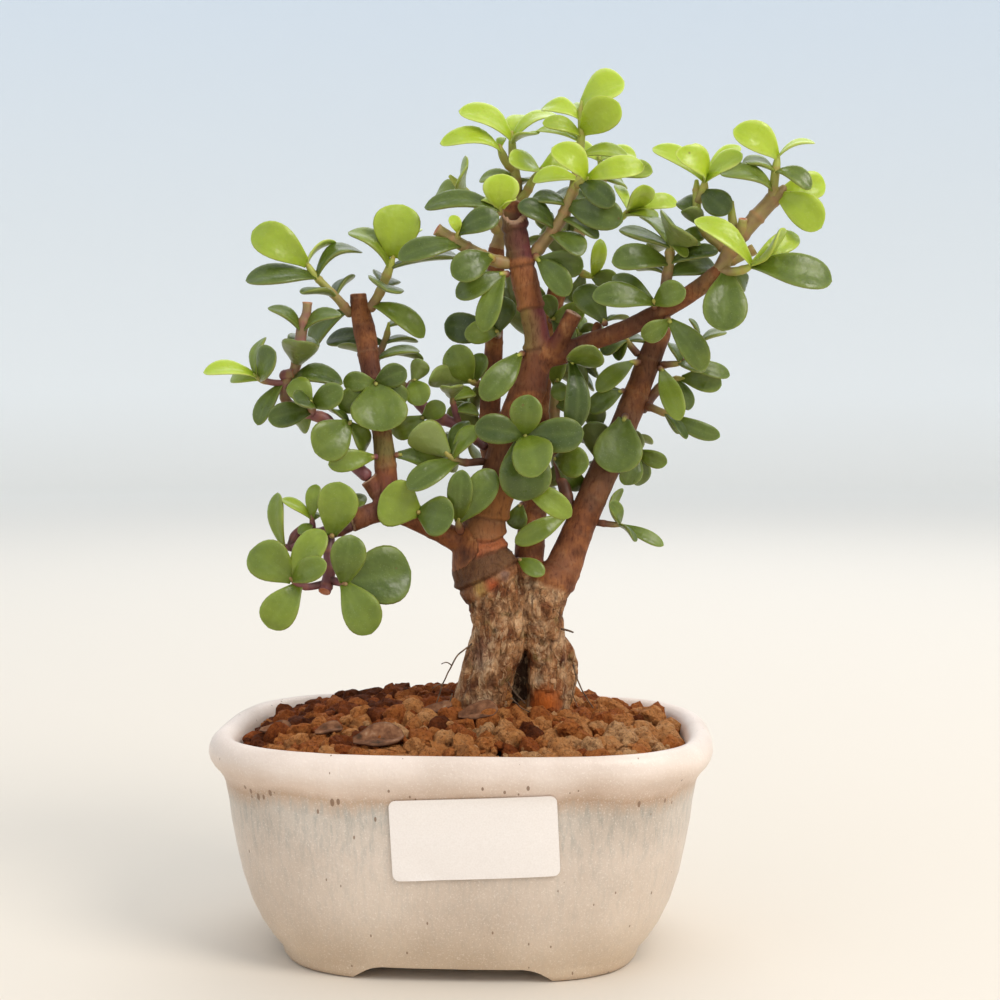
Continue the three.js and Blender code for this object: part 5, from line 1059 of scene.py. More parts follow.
  ["fork_front", [[26.3, 146.2, -5, 1.1], [27.2, 145.2, -6.5, 1]], [[0.7, 27.4, 128.2, -8, 7, 0.5],
    [1, 32.5, 149.4, -15, 9.5, 0.35]]],
  ["limb_round", [[40.4, 131.8, 0.2, 1.1], [40, 131, -2, 1]], [[1, 36.5, 118, -7, 12.3, 0.95, 0.03]]],
  ["limb_mid_right", [[41.6, 124.2, 3, 1], [43, 123.2, 2.5, 0.9], [43.8, 122.8, 2, 0.8]],
    [[1, 50.9, 120.2, 0, 5, 0.3], [0.9, 43.9, 114.6, 5, 5.5, 0.6], [0.5, 40.2, 114.8, 0, 6, 0.7]]],
  ["limb_low_right", [[33.3, 105.3, 2.6, 1], [37, 104.8, 1, 0.9], [39.8, 104.6, 0, 0.8]],
    [[0.95, 36.6, 110.5, -5, 3.8, 0.4], [1, 40.3, 113.8, 4, 4, 0.2, -0.25],
    [1, 49.9, 99.2, -1, 4, 0.3, 0.08], [0.95, 42.9, 100.6, -6, 3.5, 0.4]]],
  ["limb_right_low", [[44.9, 133.8, 5, 1.5], [47, 137, 7, 1.5], [50, 140, 8, 1.4], [53.5, 141.3, 6.5, 1],
    [55, 141.3, 5.5, 0.8]], [[0.85, 56.2, 133.4, 5, 5, 0.5], [1, 64.3, 139.7, 4, 6, 0.6]]],
  ["limb_right_low", [[45.8, 134.4, 5.5, 1.3], [47, 134, 2, 1.1], [50.4, 132.5, 0, 1],
    [52, 132, -0.5, 0.8]], [[0.8, 55.5, 126, -4, 4.2, 0.4], [1, 64, 126.8, -2, 4.5, 0.35],
    [0.8, 54.7, 128, 3, 3.5, 0.3]]],
  ["limb_leaf_right", [[49, 143.8, 2, 1], [49.7, 143, 0.5, 0.9]], [[0.9, 54, 131, -8, 6, 0.75]]],
  ["limb_leaf_left", [[43.8, 145.2, 3.8, 1], [41.6, 145.4, 1.5, 0.9]],
    [[0.9, 33.2, 138.1, -3, 5.5, 0.6]]],
  ["limb_right_high", [[49.5, 144.6, 4, 1.1], [51, 144.8, 2, 1], [53.6, 145, 1, 0.9],
    [55, 145.3, 0.5, 0.8]], [[1, 66.3, 142, 2, 4.5, 0.4], [0.8, 60, 142.9, -5, 5.5, 0.5],
    [0.85, 51.5, 150, 4, 5, 0.4]]],
  ["limb_right_high", [[55, 145.3, 0.8, 0.9], [57.5, 148, 3, 0.8], [59.2, 151, 3.5, 0.7]],
    [[1, 65.5, 152.8, 3, 5, 0.3], [1, 56.2, 156.2, 2, 3, 0.3]]],
  ["arch_hang", [[50.8, 156.1, -5.6, 1.1], [51.5, 155.3, -7, 1]], [[0.8, 60.2, 143.5, -10, 7.2, 0.7],
    [0.8, 44.3, 151.8, -7, 5.5, 0.6]]],
  ["arch_behind", [[43.2, 147.6, 4.6, 1.1], [41.6, 149.4, 5.5, 1], [40.2, 151.6, 5.5, 0.9]],
    [[0.8, 38, 146, 7, 5, 0.6], [0.8, 45.6, 150.5, 9, 5, 0.5], [1, 34.5, 147.5, 4, 6, 0.5]]],
  ["limb_left_dark", [[39.8, 138.2, 3, 1], [38.8, 138, 2, 0.9]], [[1, 31.2, 133.2, 0, 5, 0.3],
    [0.6, 34.6, 137.2, 6, 5, 0.5]]],
  ["arch_up", [[50.1, 161.6, -4.6, 1.6], [50.3, 165, -5, 1.5], [51.2, 170, -5, 1.4],
    [51.3, 173.8, -5, 1.3], [52.3, 174.8, -5.5, 0.9]], [[0.6, 37, 170.2, -10, 7, 0.6],
    [0.6, 63.3, 172.6, -9, 5, 0.5], [0.4, 43.2, 168, 3, 4.5, 0.3], [0.4, 62.3, 169, -1, 6, 0.6],
    [0.92, 51.5, 179, -17, 12.5, 0.1], [0.9, 38.6, 177.8, -4, 7, 0.2, 0.05], [0.9, 46, 172.6, 5, 5, 0.3],
    [1, 59, 174.6, -8, 2.6, 0.3], [1, 60, 177.6, -2, 4, 0.5], [1, 55.5, 171.5, -10, 3, 0.6],
    [0.9, 44.5, 180.5, 7, 6, 0.4]]],
  ["arch_low", [[47.5, 159.2, -6.4, 1.1], [47.4, 160.6, -7.5, 1]], [[0.8, 32, 161.5, -10, 7, 0.55],
    [0.8, 55.2, 163.3, -12, 6, 0.7], [1, 37.2, 166.9, -3, 5, 0.4]]],
  ["back_top", [[25.9, 170, 8.3, 2], [28, 175.5, 8, 1.9], [31.3, 183, 8, 1.7], [34.5, 190, 8, 1.5],
    [34.6, 193, 7, 1.2], [33.5, 196, 6, 1]], [[0.8, 47, 191.8, 1, 7, 0.4], [1, 42.8, 196, 5, 6, 0.3, 0.2],
    [1, 24, 197.5, 16, 6, 0.3], [0.8, 40, 188.6, 14, 6, 0.4], [0.55, 22, 186, 14, 7, 0.5]]],
  ["back_top", [[25.9, 170.5, 8, 1.3], [29, 167.5, 7, 1.1], [32.8, 166.3, 5, 0.9]],
    [[1, 38.6, 165.3, 2, 6, 0.6], [1, 34, 175.8, 1, 5, 0.6, 0.2], [0.6, 26, 160, 14, 6, 0.6]]],
  ["back_top", [[30.5, 181.3, 7.5, 1.2], [35, 180, 4, 1], [39.5, 181, 2, 1], [41.5, 183.5, 1, 0.8]],
    [[1, 44.5, 189.3, -7, 8, 0.5], [1, 53, 184.7, 3, 5, 0.4, 0.15], [1, 38, 189.2, 6, 4, 0.5],
    [0.8, 48.3, 180.8, -3, 5, 0.3]]],
  ["arch_root", [[35.2, 154.9, -2.6, 1.1], [34.9, 156.2, -2.6, 1]], [[0.9, 28.6, 164, -1, 7.5, 0.8],
    [0.9, 40.8, 155.9, 3, 4, 0.2]]],
  ["back_centre", [[21.8, 155.8, 7, 1], [22.6, 156.2, 4.5, 0.9]], [[1, 30.2, 158.2, 1.5, 6, 0.5],
    [0.8, 20.2, 162, 3.5, 4.5, 0.4], [0.8, 27, 149.5, 5, 6, 0.6]]],
  ["arch_end", [[63.7, 168, -4.1, 2.1], [66, 172.4, -4, 2.1], [69, 177, -4, 2.2], [72.5, 181, -4, 2.2],
    [76, 184.8, -4, 2.1], [79.3, 188.2, -4, 2]], [[0.95, 89.6, 189, -2, 7, 0.7],
    [0.92, 88.8, 178.5, -8, 8.5, 0.85]]],
  ["arch_end", [[65.5, 170, -4, 1.4], [69, 171.4, -4, 1.2], [72.3, 173.4, -4, 1.5]], []],
  ["arch_end", [[68.8, 176.5, -5, 1.3], [69.4, 180.8, -6, 1.2]], []],
  ["arch_end", [[67.8, 176, -3, 1.3], [66.5, 181.5, -3, 1.2], [66.8, 185, -3, 0.5]], []],
  ["arch_end", [[66, 172.5, -3.5, 1.4], [61, 176.3, -1, 1.3], [58, 180.5, 0, 1.2], [57.8, 190, 0, 1.1]],
    [[0.45, 55, 182.9, -5, 5, 0.4], [0.62, 54, 185.6, 4, 5.5, 0.6]]],
  ["arch_end", [[58.3, 185.3, -0.4, 1.2], [59.8, 188.3, -1.5, 1.2], [59.8, 190.8, -2, 1]],
    [[1, 53, 197.3, -9, 6.5, 0.6, 0.25], [1, 46.8, 197.7, 1, 6, 0.4, 0.15],
    [1, 69, 196.7, -6, 6.5, 0.4, 0.1], [1, 68.2, 198.8, 3, 5, 0.3, 0.1], [1, 57.5, 199.4, 4, 3.5, 0.6],
    [0.4, 65.8, 182.3, -6, 6.8, 0.9]]],
  ["arch_end", [[64.8, 167.6, -5.4, 1.3], [68, 167.8, -7.5, 1.2], [70.8, 168.6, -8.5, 1],
    [72.3, 170, -9, 0.9]], [[0.95, 57.6, 180.7, -9, 7, 0.45, 0.15], [0.95, 91.5, 165.5, -11, 9, 0.5],
    [1, 83, 176.5, -4, 6, 0.3], [1, 78.5, 178.6, -16, 10, 0.3], [0.1, 64.5, 152.9, -11, 11.8, 0.95, 0.05],
    [0.3, 70, 163.6, -2, 4, 0.4]]],
  ["arch_end", [[76.6, 186, -4.8, 1.3], [77.2, 191.5, -5, 1.2], [77.9, 196.6, -5, 1]],
    [[1, 67, 202.7, -9, 8, 0.75, 0.2], [1, 87.2, 198.7, -6, 5, 0.2, 0.2],
    [0.6, 69.2, 194.7, -6, 5.5, 0.35, 0.15], [0.6, 86, 188.4, -11, 5.5, 0.5, 0.2],
    [0.15, 63.7, 192, -7, 6.5, 0.5, 0.25]]],
]
# Twigs behind the rest, whose leaves are [pairs, reach, width, turn of the first pair in degrees]
INNER_SHOOTS = [
  ["back_low", [[18.3, 112, 11.6, 1.5], [21.5, 115.5, 15, 1.3], [25.5, 119.5, 18, 1]], [3, 11, 7.5, 20]],
  ["back_left", [[6.6, 127, 10.4, 1.5], [3, 130.5, 15.5, 1.3], [0.5, 135, 18, 1]], [3, 11, 7.5, 10]],
  ["back_left", [[4.4, 129.2, 14, 1.2], [1, 126, 17, 1.1], [-2, 124, 20, 0.9]], [2, 10, 7, 40]],
  ["back_middle", [[8, 157, 14.8, 1.5], [11.5, 157.5, 19, 1.3], [14.5, 161, 21, 1]], [3, 11, 8, 35]],
  ["back_middle", [[9.8, 157.3, 17.3, 1.2], [8, 161, 21, 1.1], [6, 166, 23.5, 0.9]], [2, 10, 7, 0]],
  ["back_bough", [[19.6, 142, 20, 1.5], [24.5, 143, 22.5, 1.3], [30, 144.5, 22, 1]], [3, 11, 8, 15]],
  ["back_bough", [[24.5, 143, 22.5, 1.2], [27, 148, 23.5, 1.1], [29.5, 153.5, 22.5, 0.9]],
    [3, 10.5, 7.5, 50]],
  ["back_limb", [[34.4, 118, 9.6, 1.5], [34, 122, 15, 1.3], [33, 128, 18.5, 1]], [3, 11.5, 8, 25]],
  ["back_limb", [[34.1, 121, 13.6, 1.2], [38, 123, 17.5, 1.1], [41.5, 127, 20, 0.9]], [2, 10, 7, 10]],
  ["back_crown", [[25.4, 168.5, 18.8, 1.4], [24, 172.5, 22.5, 1.3], [21.5, 177.5, 24.5, 1]],
    [3, 10.5, 7.5, 20]],
  ["back_crown", [[24.2, 171.6, 21.6, 1.2], [26.5, 176, 25, 1.1], [29, 182, 25.5, 0.9]], [2, 9.5, 7, 45]],
]
# How far back or forward each shoot is moved so that it roots on its limb, in mm of depth
LEANS = {
    "left_crown_outer": 8, "left_crown_inner": 8, "left_branch": -9, "stub_front": 1, "stub_behind": 2.5,
    "stub_leaf_left": -2.5, "stub_leaf_right": -2.5, "centre_left": 3.8, "centre_behind": 5.6,
    "top_centre": 7, "low_front_left": -2.5, "low_left_branch": -7.5, "limb_leaf_low": 3.8,
    "limb_low_right": 1.5, "limb_mid_right": 5.5, "limb_round": 7, "limb_right_low": 7,
    "limb_left_dark": 7.5, "limb_leaf_right": 8.5, "limb_leaf_left": 8.5, "limb_right_high": 8.5,
    "arch_behind": 9, "arch_root": -2.5, "arch_low": -6, "arch_hang": -7, "arch_up": -7,
    "arch_end": -11.5, "back_stem_leaf": 1.6, "back_centre": 8.2, "back_top": 9,
}
BARE_TWIGS = 1.15
TWIG_SIDES = 12
TWIG_CUT = (0.6, 0.5, 0.15)
PINK_TWIGS = ("left_branch", "low_left_branch", "stub_leaf_left", "stub_front", "mid_left")
BRIGHT_TWIGS = ("top_centre", "trunk_top", "fork", "arch_end", "back_top", "left_crown_outer",
                "left_crown_inner", "left_branch", "shoulder")
PLAIN_BEND = 0.12
PAIR_SPREAD = 0.87
PAIR_RISE = 0.5
LEAF_CUP = 0.16
LEAF_ROOT = 0.8
STATIONS = np.array([0, 0.05, 0.12, 0.22, 0.33, 0.45, 0.56, 0.67, 0.77, 0.85, 0.915, 0.96, 0.988])
WIDEST = 0.64
LEAF_SIDES = 16

# A leaf's half width and thickness at each station, as shares of the greatest
swell = np.clip(STATIONS / WIDEST, 0, 1)
past_widest = np.maximum(0, STATIONS - WIDEST) / (1 - WIDEST)
leaf_outline = np.where(STATIONS < WIDEST, 0.13 + 0.37 * np.sin(swell * math.pi / 2) ** 1.25,
                        0.5 * np.sqrt(np.maximum(0, 1 - past_widest ** 2.3)))
leaf_body = (0.42 + 0.58 * np.sin(np.clip(STATIONS / 0.5, 0, 1) * math.pi / 2)) * \
    np.sqrt(np.maximum(0, 1 - np.clip((STATIONS - 0.5) / 0.5, 0, 1) ** 2.6))
leaf_turn = np.arange(LEAF_SIDES) * 2 * math.pi / LEAF_SIDES
across_leaf = np.cos(leaf_turn)
above_leaf = np.sign(np.sin(leaf_turn)) * abs(np.sin(leaf_turn)) ** 0.85


def leaf_blade(root, tip, width, face, bend, youth, draw, wither=0):
    """One leaf as points, faces and marks: how near the edge, how far along, how young, top or back."""
    length = np.linalg.norm(tip - root)
    forward = (tip - root) / length
    face = unit(face - forward * face.dot(forward))
    side = np.cross(face, forward)
    thin = min(1, width / 7) ** 0.6
    s = STATIONS[:, None]
    uneven = np.where(across_leaf > 0, 1 + 0.06 * draw.normal(), 1 + 0.06 * draw.normal())
    half = leaf_outline[:, None] * width * uneven
    edge = half * across_leaf
    flesh = 1.3 - 0.5 * youth
    body = leaf_body[:, None] * thin * flesh * above_leaf * np.where(above_leaf > 0, 0.5, 1)
    crease = -0.16 * thin * leaf_body[:, None] * (abs(across_leaf) < 0.1) * (above_leaf > 0)
    twist = math.radians(draw.normal(0, 7) + wither * 25) * s
    wave = draw.uniform(0.02, 0.06) + 0.1 * wither
    beat = s * draw.uniform(5, 9) + draw.uniform(0, 6) + np.sign(across_leaf)
    ripple = wave * half * np.sin(beat) * across_leaf ** 2
    droop = draw.normal(0, 0.03) * length * s ** 2
    lift = bend * length * 4 * s * (1 - s) + (LEAF_CUP + wither) * abs(edge) + np.sin(twist) * edge + body \
        + crease + ripple + droop
    sway = draw.normal(0, 0.025) * length * s * (1 - s) * 4
    aside = -edge * np.cos(twist) + sway
    points = root + (s * length + 0 * edge)[..., None] * forward + aside[..., None] * side \
        + lift[..., None] * face
    end = tip + forward * 0.01 * length + (droop[-1, 0] + 0.1 * LEAF_CUP) * face
    near_edge = np.maximum(abs(across_leaf), np.clip((s - 0.9) / 0.1, 0, 1))
    marks = np.stack([near_edge, s + 0 * edge, youth + 0 * edge, (above_leaf < 0) + 0 * edge], axis=-1)
    last = np.arange(LEAF_SIDES) + (len(STATIONS) - 1) * LEAF_SIDES
    faces = between(len(STATIONS), LEAF_SIDES)
    faces += [[int(a), int(b), len(STATIONS) * LEAF_SIDES] for a, b in zip(last, np.roll(last, -1))]
    faces.append(list(range(LEAF_SIDES))[::-1])
    return np.concatenate([points.reshape(-1, 3), [end]]), faces, \
        np.concatenate([marks.reshape(-1, 4), [[1, 1, youth, 0.5]]])


# Living leaf: a waxy, half glossy skin over watery flesh that light enters. Green goes from dark
# to yellow with youth, the rounded edge is paler, partly a yellower margin and partly painted
# highlight, and pale dots of 0.1 mm (drawn 0.7 mm apart) and a few brown spots lie in it.
leaf_green, tree, shader = new_material(
    "fleshy portulacaria leaf", "7f9237", 0.42, IOR=1.45, Coat_Weight=0.12, Coat_Roughness=0.4,
    Subsurface_Weight=0.2, Subsurface_Scale=0.0015)
shader.inputs["Subsurface Radius"].default_value = (0.6, 1, 0.25)
place = (add(tree, "TexCoord"), "Object")
marks = add(tree, "Attribute", {"attribute_name": "leaf"})
split = add(tree, "SeparateColor", links={0: (marks, "Color")})
mottle = add(tree, "TexNoise", {"Scale": 1 / (5 * MM), "Detail": 6, "Roughness": 0.6}, {"Vector": place})
age = add(tree, "Math", {"operation": "MULTIPLY_ADD", 1: 0.35}, {0: mottle, 2: (split, 2)})
age_spread = add(tree, "MapRange", {"From Min": 0.17, "From Max": 1.17}, {"Value": age})
green = add(tree, "ValToRGB", {"stops": [
    (0, "38480c"), (0.25, "566619"), (0.5, "7b8b26"), (0.75, "99ac28"), (1, "a9bd2c")]}, {0: age_spread})
to_tip = add(tree, "ValToRGB", {"stops": [(0, "e2e4c4"), (0.2, "ffffff"), (0.8, "fbfcf0")]},
             {0: (split, 1)})
graded = add(tree, "Mix", {"data_type": "RGBA", "blend_type": "MULTIPLY", 0: 0.7}, {6: green, 7: to_tip})
back_share = add(tree, "Math", {"operation": "MULTIPLY", 1: 0.55}, {0: (marks, "Alpha")})
backed = add(tree, "Mix", {"data_type": "RGBA", 7: "8a9455"}, {0: back_share, 6: (graded, 2)})
# The rounded edge is paler: partly a yellower margin and partly painted highlight along it
edge_tone_and_highlight = add(tree, "ValToRGB", {"stops": [
    (0, "77843a"), (0.5, "9aa544"), (0.8, "c4cf55"), (1, "e0e88c")]}, {0: age_spread})
edge_share = add(tree, "MapRange", {"From Min": 0.66, "From Max": 1, "To Max": 0.42}, {"Value": split})
edged = add(tree, "Mix", {"data_type": "RGBA"}, {0: edge_share, 6: (backed, 2), 7: edge_tone_and_highlight})
rim_share = add(tree, "MapRange", {"From Min": 0.95, "From Max": 1, "To Max": 0.35}, {"Value": split})
rimmed = add(tree, "Mix", {"data_type": "RGBA", 7: "a08a55"}, {0: rim_share, 6: (edged, 2)})
vein_share = add(tree, "MapRange", {"From Min": 0.22, "From Max": 0, "To Max": 0.07}, {"Value": split})
veined = add(tree, "Mix", {"data_type": "RGBA", 7: "a9bd62"}, {0: vein_share, 6: (rimmed, 2)})
dots = add(tree, "TexVoronoi", {"Scale": 1 / (0.6667 * MM)}, {"Vector": place})
dot_share = add(tree, "MapRange", {"From Min": 0.22, "From Max": 0.1, "To Max": 0.09},
                {"Value": (dots, "Distance")})
dotted = add(tree, "Mix", {"data_type": "RGBA", 7: "cfd8a4"}, {0: dot_share, 6: (veined, 2)})
spots = add(tree, "TexVoronoi", {"Scale": 1 / (4.167 * MM)}, {"Vector": place})
spot_kind = add(tree, "SeparateColor", links={0: (spots, "Color")})
spot_reach = add(tree, "Math", {"operation": "MULTIPLY_ADD", 1: 0.5, 2: -0.4}, {0: (spot_kind, 1)})
spot_gap = add(tree, "Math", {"operation": "SUBTRACT"}, {0: spot_reach, 1: (spots, "Distance")})
spot_share = add(tree, "MapRange", {"From Max": 0.03, "To Max": 0.55}, {"Value": spot_gap})
spotted = add(tree, "Mix", {"data_type": "RGBA", 7: "6b4a22"}, {0: spot_share, 6: (dotted, 2)})
tree.links.new(spotted.outputs[2], shader.inputs["Base Color"])
shine = add(tree, "MapRange", {"From Min": 0.3, "From Max": 0.7, "To Min": 0.26, "To Max": 0.46},
            {"Value": mottle})
tree.links.new(shine.outputs[0], shader.inputs["Roughness"])
pimples = add(tree, "TexNoise", {"Scale": 1 / (0.7143 * MM), "Detail": 2}, {"Vector": place})
swells = add(tree, "TexNoise", {"Scale": 1 / (4.348 * MM), "Detail": 2}, {"Vector": place})
swell_bump = add(tree, "Bump", {"Strength": 0.5, "Distance": 0.0012}, {"Height": swells})
leaf_bump = add(tree, "Bump", {"Strength": 0.16, "Distance": 0.0003},
                {"Height": pimples, "Normal": swell_bump})
tree.links.new(leaf_bump.outputs[0], shader.inputs["Normal"])

# Twig skin: soft and smooth, brown or pink below and olive green at the young end
twig_bark, tree, shader = new_material("soft twig skin", "7b5a38", 0.5)
place = (add(tree, "TexCoord"), "Object")
marks = add(tree, "Attribute", {"attribute_name": "leaf"})
split = add(tree, "SeparateColor", links={0: (marks, "Color")})
mottle = add(tree, "TexNoise", {"Scale": 1 / (2.381 * MM), "Detail": 4}, {"Vector": place})
wander = add(tree, "Math", {"operation": "MULTIPLY_ADD", 1: 0.5}, {0: mottle, 2: (split, 1)})
grown = add(tree, "MapRange", {"From Min": 0.25, "From Max": 1.25}, {"Value": wander})
brown_twig = add(tree, "ValToRGB", {"stops": [
    (0, "55351f"), (0.28, "71492b"), (0.5, "8a7440"), (0.75, "9d9444"), (1, "aab044")]}, {0: grown})
pink_twig = add(tree, "ValToRGB", {"stops": [
    (0, "5a3430"), (0.35, "7a4448"), (0.6, "8c564e"), (0.8, "92804a"), (1, "a2a646")]}, {0: grown})
twig = add(tree, "Mix", {"data_type": "RGBA"}, {0: (split, 2), 6: brown_twig, 7: pink_twig})
joint = add(tree, "Mix", {"data_type": "RGBA", 7: "b9744e"}, {0: (marks, "Alpha"), 6: (twig, 2)})
tree.links.new(joint.outputs[2], shader.inputs["Base Color"])
twig_bump = add(tree, "Bump", {"Strength": 0.35, "Distance": 0.0004}, {"Height": mottle})
tree.links.new(twig_bump.outputs[0], shader.inputs["Normal"])


def in_pairs(pairs, reach, width, turn):
    """Rows of leaves in opposite pairs, each pair a quarter turn from the last. An angle and a
    reach stand where a row of SHOOTS has its tip."""
    return [[(pair + 1) / pairs, turn + 90 * pair + half, reach, 0, width, 0]
            for pair in range(pairs) for half in (0, 180)]


for name in dict.fromkeys(row[0] for row in SHOOTS + INNER_SHOOTS):
    lean = LEANS.get(name, 0)
    bright_twig = name in BRIGHT_TWIGS
    draw = np.random.default_rng(sum(map(ord, name)))
    groups = []
    for _, stem, leaves in (row for row in SHOOTS + INNER_SHOOTS if row[0] == name):
        paired = name.startswith("back_") and not isinstance(leaves[0], list)
        if paired:
            leaves = in_pairs(*leaves)
        rows = [[across, up, depth + lean, radius] for across, up, depth, radius in stem]
        path = smooth_path(rows, 0.7, 0.9)
        even = np.linspace(0, 1, len(path))
        distance = even * np.linalg.norm(np.diff(path[:, :3], axis=0), axis=1).sum()
        # The stem: knotted every 4 to 6 mm where leaves sit, and thinner towards a soft tip
        phase = ((distance + draw.uniform(0, 4)) / draw.uniform(4.2, 6)) % 1
        knots = np.exp(-((phase - 0.5) / 0.09) ** 2)
        thick = path.copy()
        thick[:, 3] *= 0.9 + 0.14 * knots
        bare = stem[-1][3] > BARE_TWIGS and all(row[0] < 0.9 for row in leaves)
        if not bare:
            left = distance[-1] - distance
            thick[:, 3] *= 0.55 + 0.45 * np.clip(left / 2.2, 0, 1)
        made, quads, share = tube(thick, TWIG_SIDES, TWIG_CUT if bare else None)
        knot, height, stoutness = [
            np.interp(share, even, values) for values in (knots, path[:, 2], path[:, 3])]
        early = 0.45 if bright_twig else 0.1
        least = 0.55 if bright_twig else 0.3
        young = np.clip(early + (1 - early) * share + 0.3 * (height - 150) / 60, 0, 1)
        young = np.minimum(young, least + (1 - least) * np.clip((1.75 - stoutness) / 0.7, 0, 1))
        pink = 1.0 if name in PINK_TWIGS else 0.25
        joints = 0.3 * knot
        if bare:
            young = np.minimum(young, 0.7)
            joints[-3 * TWIG_SIDES:] = 0.9
        groups.append((made, quads, np.stack([0 * share, young, pink + 0 * share, joints], axis=1), 1))
        for row in leaves:
            share, across, up, depth, width, facing, bend = [*row, PLAIN_BEND][:7]
            size = 1 - 0.3 * share if paired else 1
            spot = min(share * distance[-1], distance[-1] - LEAF_ROOT)
            i = min(len(path) - 2, int(np.searchsorted(distance, spot)))
            stem_way = unit(path[i + 1, :3] - path[max(0, i - 1), :3])
            root = np.array([np.interp(spot, distance, column) for column in path[:, :3].T])
            face = stem_way * (1 - abs(facing)) + unit(viewer - root) * facing
            tip = placed(across, up, depth + lean)
            if paired:
                side = unit(FIRST_SIDE - stem_way * FIRST_SIDE.dot(stem_way))
                angle = math.radians(across)
                out = side * math.cos(angle) + np.cross(stem_way, side) * math.sin(angle)
                tip = root + (PAIR_SPREAD * out + PAIR_RISE * stem_way) * up * size
                across, up = (tip - pot_middle)[[0, 2]]
            # The last pair of a twig in the light is the youngest, and small leaves are younger
            lit = bright_twig and share >= 0.75 and (up > 172 or across < -50)
            youth = 0.14 + 0.1 * (share >= 0.9) + 0.08 * (width < 6.2) \
                + 0.6 * np.clip((up - 188) / 14, 0, 1) + (0.62 if share >= 0.9 else 0.36) * lit \
                + 0.16 * (across < -18 and up < 122) + draw.normal(0, 0.09)
            youth = float(np.clip(youth, 0.02, 1))
            groups.append((*leaf_blade(root, tip, width * size, face, bend, youth, draw), 0))
    points, faces = joined([group[:2] for group in groups])
    shoot = piece("shoot_" + name, points, faces, leaf_green)
    shoot.data.materials.append(twig_bark)
    kinds = [kind for _, quads, _, kind in groups for _ in quads]
    shoot.data.polygons.foreach_set("material_index", kinds)
    shade(shoot.data, "leaf", np.concatenate([marks for _, _, marks, _ in groups]))
    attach(shoot, "root")
    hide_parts(name)


# Fallen leaves: five old leaves that dropped on the soil and dried there, shrunken, curled and
# grey-brown.
FALLEN = [
    ["fallen_leaf_large", [-28, 48.6, -28], [-15.2, 50.2, -26], 8.6, 0.45],
    ["fallen_leaf_trunk", [-1.4, 55, -12.5], [8.6, 56.2, -12], 6.5, 0.5],
    ["fallen_leaf_curled", [-10.5, 56.5, -9], [-3, 57.6, -9.5], 4.5, 0.4],
    ["fallen_leaf_left", [-51.4, 51.4, -9], [-43.6, 52, -12], 5, 0.4],
    ["fallen_leaf_middle", [-37.6, 50.8, -18], [-30.6, 52.4, -17], 4.5, 0.4],
]
# Dried leaf: matt and wrinkled, brown in stains of 3 mm, with a darker edge
dry_leaf, tree, shader = new_material("dried leaf", "7a5c40", 0.8, Specular_IOR_Level=0.25)
place = (add(tree, "TexCoord"), "Object")
marks = add(tree, "Attribute", {"attribute_name": "leaf"})
split = add(tree, "SeparateColor", links={0: (marks, "Color")})
stain = add(tree, "TexNoise", {"Scale": 1 / (3.03 * MM), "Detail": 5, "Roughness": 0.6}, {"Vector": place})
dried = add(tree, "ValToRGB", {"stops": [
    (0.3, "3a2817"), (0.46, "69422a"), (0.6, "885c3e"), (0.75, "a98a6c")]}, {0: stain})
edge_share = add(tree, "MapRange", {"From Min": 0.75, "From Max": 1, "To Max": 0.5}, {"Value": split})
edged = add(tree, "Mix", {"data_type": "RGBA", 7: "3f2a1c"}, {0: edge_share, 6: dried})
tree.links.new(edged.outputs[2], shader.inputs["Base Color"])
wrinkle = add(tree, "TexNoise", {"Scale": 1 / (1.4286 * MM), "Detail": 4}, {"Vector": place})
dry_bump = add(tree, "Bump", {"Strength": 0.7, "Distance": 0.0006}, {"Height": wrinkle})
tree.links.new(dry_bump.outputs[0], shader.inputs["Normal"])
for name, root, tip, width, facing in FALLEN:
    draw = np.random.default_rng(sum(map(ord, name)))
    start = placed(*root)
    face = unit(viewer - start) * facing + [0, 0, 1 - facing]
    made, quads, marks = leaf_blade(start, placed(*tip), width, face, -0.04, 0, draw, wither=0.3)
    made += (0.7 * unevenness(made, 4, 51) + 0.3 * unevenness(made, 1.5, 52))[:, None] * face
    made += [0, 0, 1.3]
    fallen = piece("dry_" + name, made, quads, dry_leaf)
    shade(fallen.data, "leaf", marks)
    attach(fallen, "root")
    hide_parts(name)


# The studio: a pale floor that curves up into a round wall, with one large soft light above on
# the right and weaker ones on the left and behind.
FLOOR_REACH = 2400
FLOOR_BEND = 500
WALL_HEIGHT = 1000
FLOOR_SIDES = 96
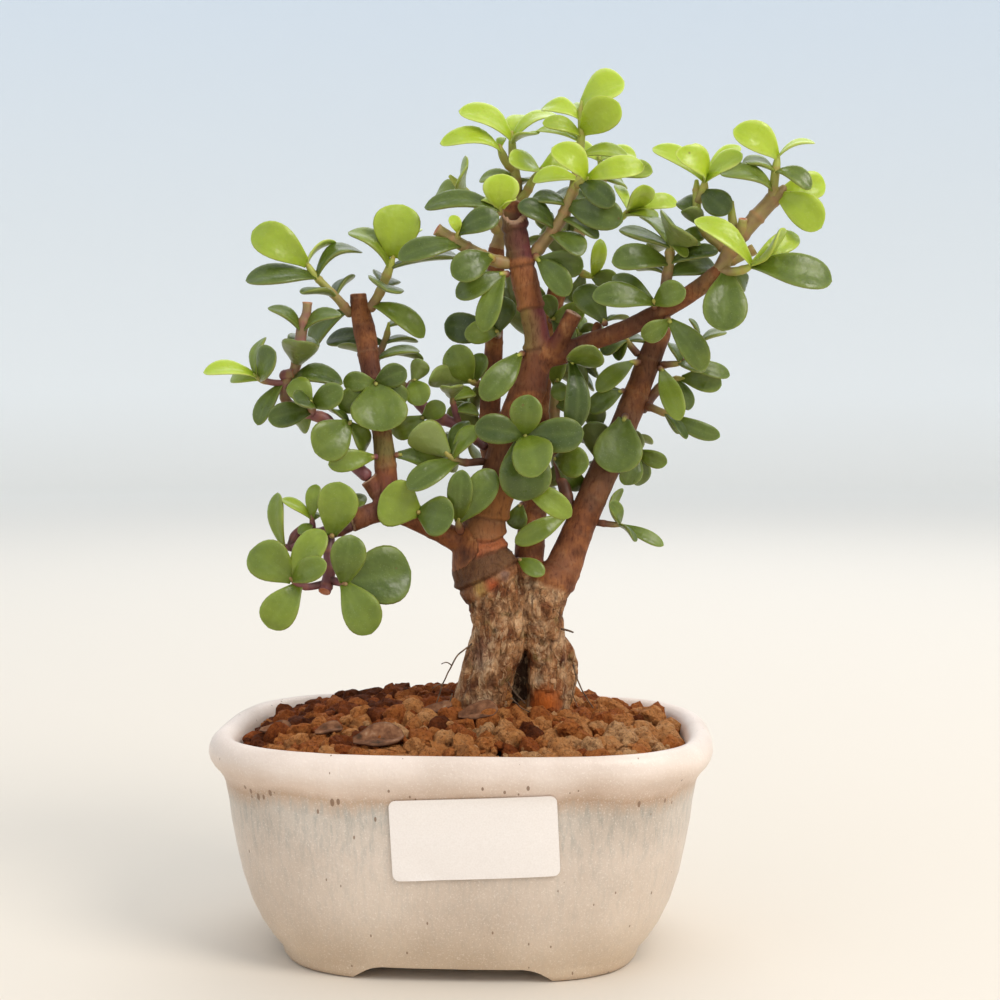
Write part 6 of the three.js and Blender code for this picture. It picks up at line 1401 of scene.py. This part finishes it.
# Studio paint: matt, warm white near the object and cooler up the wall
floor_paint, tree, shader = new_material("matt studio paint", "f4efe6", 0.9)
place = (add(tree, "TexCoord"), "Object")
spot = add(tree, "SeparateXYZ", links={0: place})
rise = add(tree, "MapRange", {"From Max": 1.6}, {"Value": (spot, 2)})
tone = add(tree, "ValToRGB", {"stops": [(0, "f6f2ea"), (0.1, "fbfbf8"), (0.6, "e8f1fa")]}, {0: rise})
reach = add(tree, "VectorMath", {"operation": "LENGTH"}, {0: place})
near_floor = add(tree, "MapRange", {"From Min": 0.15, "From Max": 2.2, "To Min": 1, "To Max": 0},
                 {"Value": (reach, "Value")})
swept = add(tree, "Mix", {"data_type": "RGBA", 7: "e0d6c8"}, {0: near_floor, 6: tone})
tree.links.new(swept.outputs[2], shader.inputs["Base Color"])
bend = [[FLOOR_REACH + FLOOR_BEND * math.sin(a), FLOOR_BEND - FLOOR_BEND * math.cos(a)]
        for a in np.linspace(0, math.pi / 2, 12)]
profile = [[0.5, 0], *[[FLOOR_REACH * i / 6, 0] for i in range(1, 6)], *bend, [bend[-1][0], WALL_HEIGHT]]
turn = np.linspace(0, 2 * math.pi, FLOOR_SIDES, endpoint=False)
points = np.concatenate([
    np.stack([r * np.cos(turn), r * np.sin(turn), 0 * turn + z], axis=1) for r, z in profile])
faces = [list(range(FLOOR_SIDES)), *between(len(profile), FLOOR_SIDES, (3, 2, 1, 0))]
floor = piece("studio_floor", points, faces, floor_paint)

bpy.context.scene.view_settings.view_transform = "Standard"
world = bpy.data.worlds.new("pale room")
bpy.context.scene.world = world
world.use_nodes = True
world.node_tree.nodes["Background"].inputs["Color"].default_value = colour("e9eff6")
world.node_tree.nodes["Background"].inputs["Strength"].default_value = 0.95
target = Vector(placed(5, 110, 0)) * MM
LIGHTS = [("key", (0.75, -0.6, 0.95), 0.6, 9, "fff9f0"), ("fill", (-0.9, -0.7, 0.7), 0.9, 1, "f2f6ff"),
          ("rear", (0.1, 0.8, 1.1), 1.2, 5, "ffffff")]
for name, spot, size, power, tone in LIGHTS:
    data = bpy.data.lights.new(name, "AREA")
    data.shape = "DISK"
    data.size = size
    data.energy = power
    data.color = colour(tone)[:3]
    lamp = bpy.data.objects.new(name, data)
    lamp.location = spot
    lamp.rotation_euler = (target - lamp.location).to_track_quat("-Z", "Y").to_euler()
    bpy.context.scene.collection.objects.link(lamp)
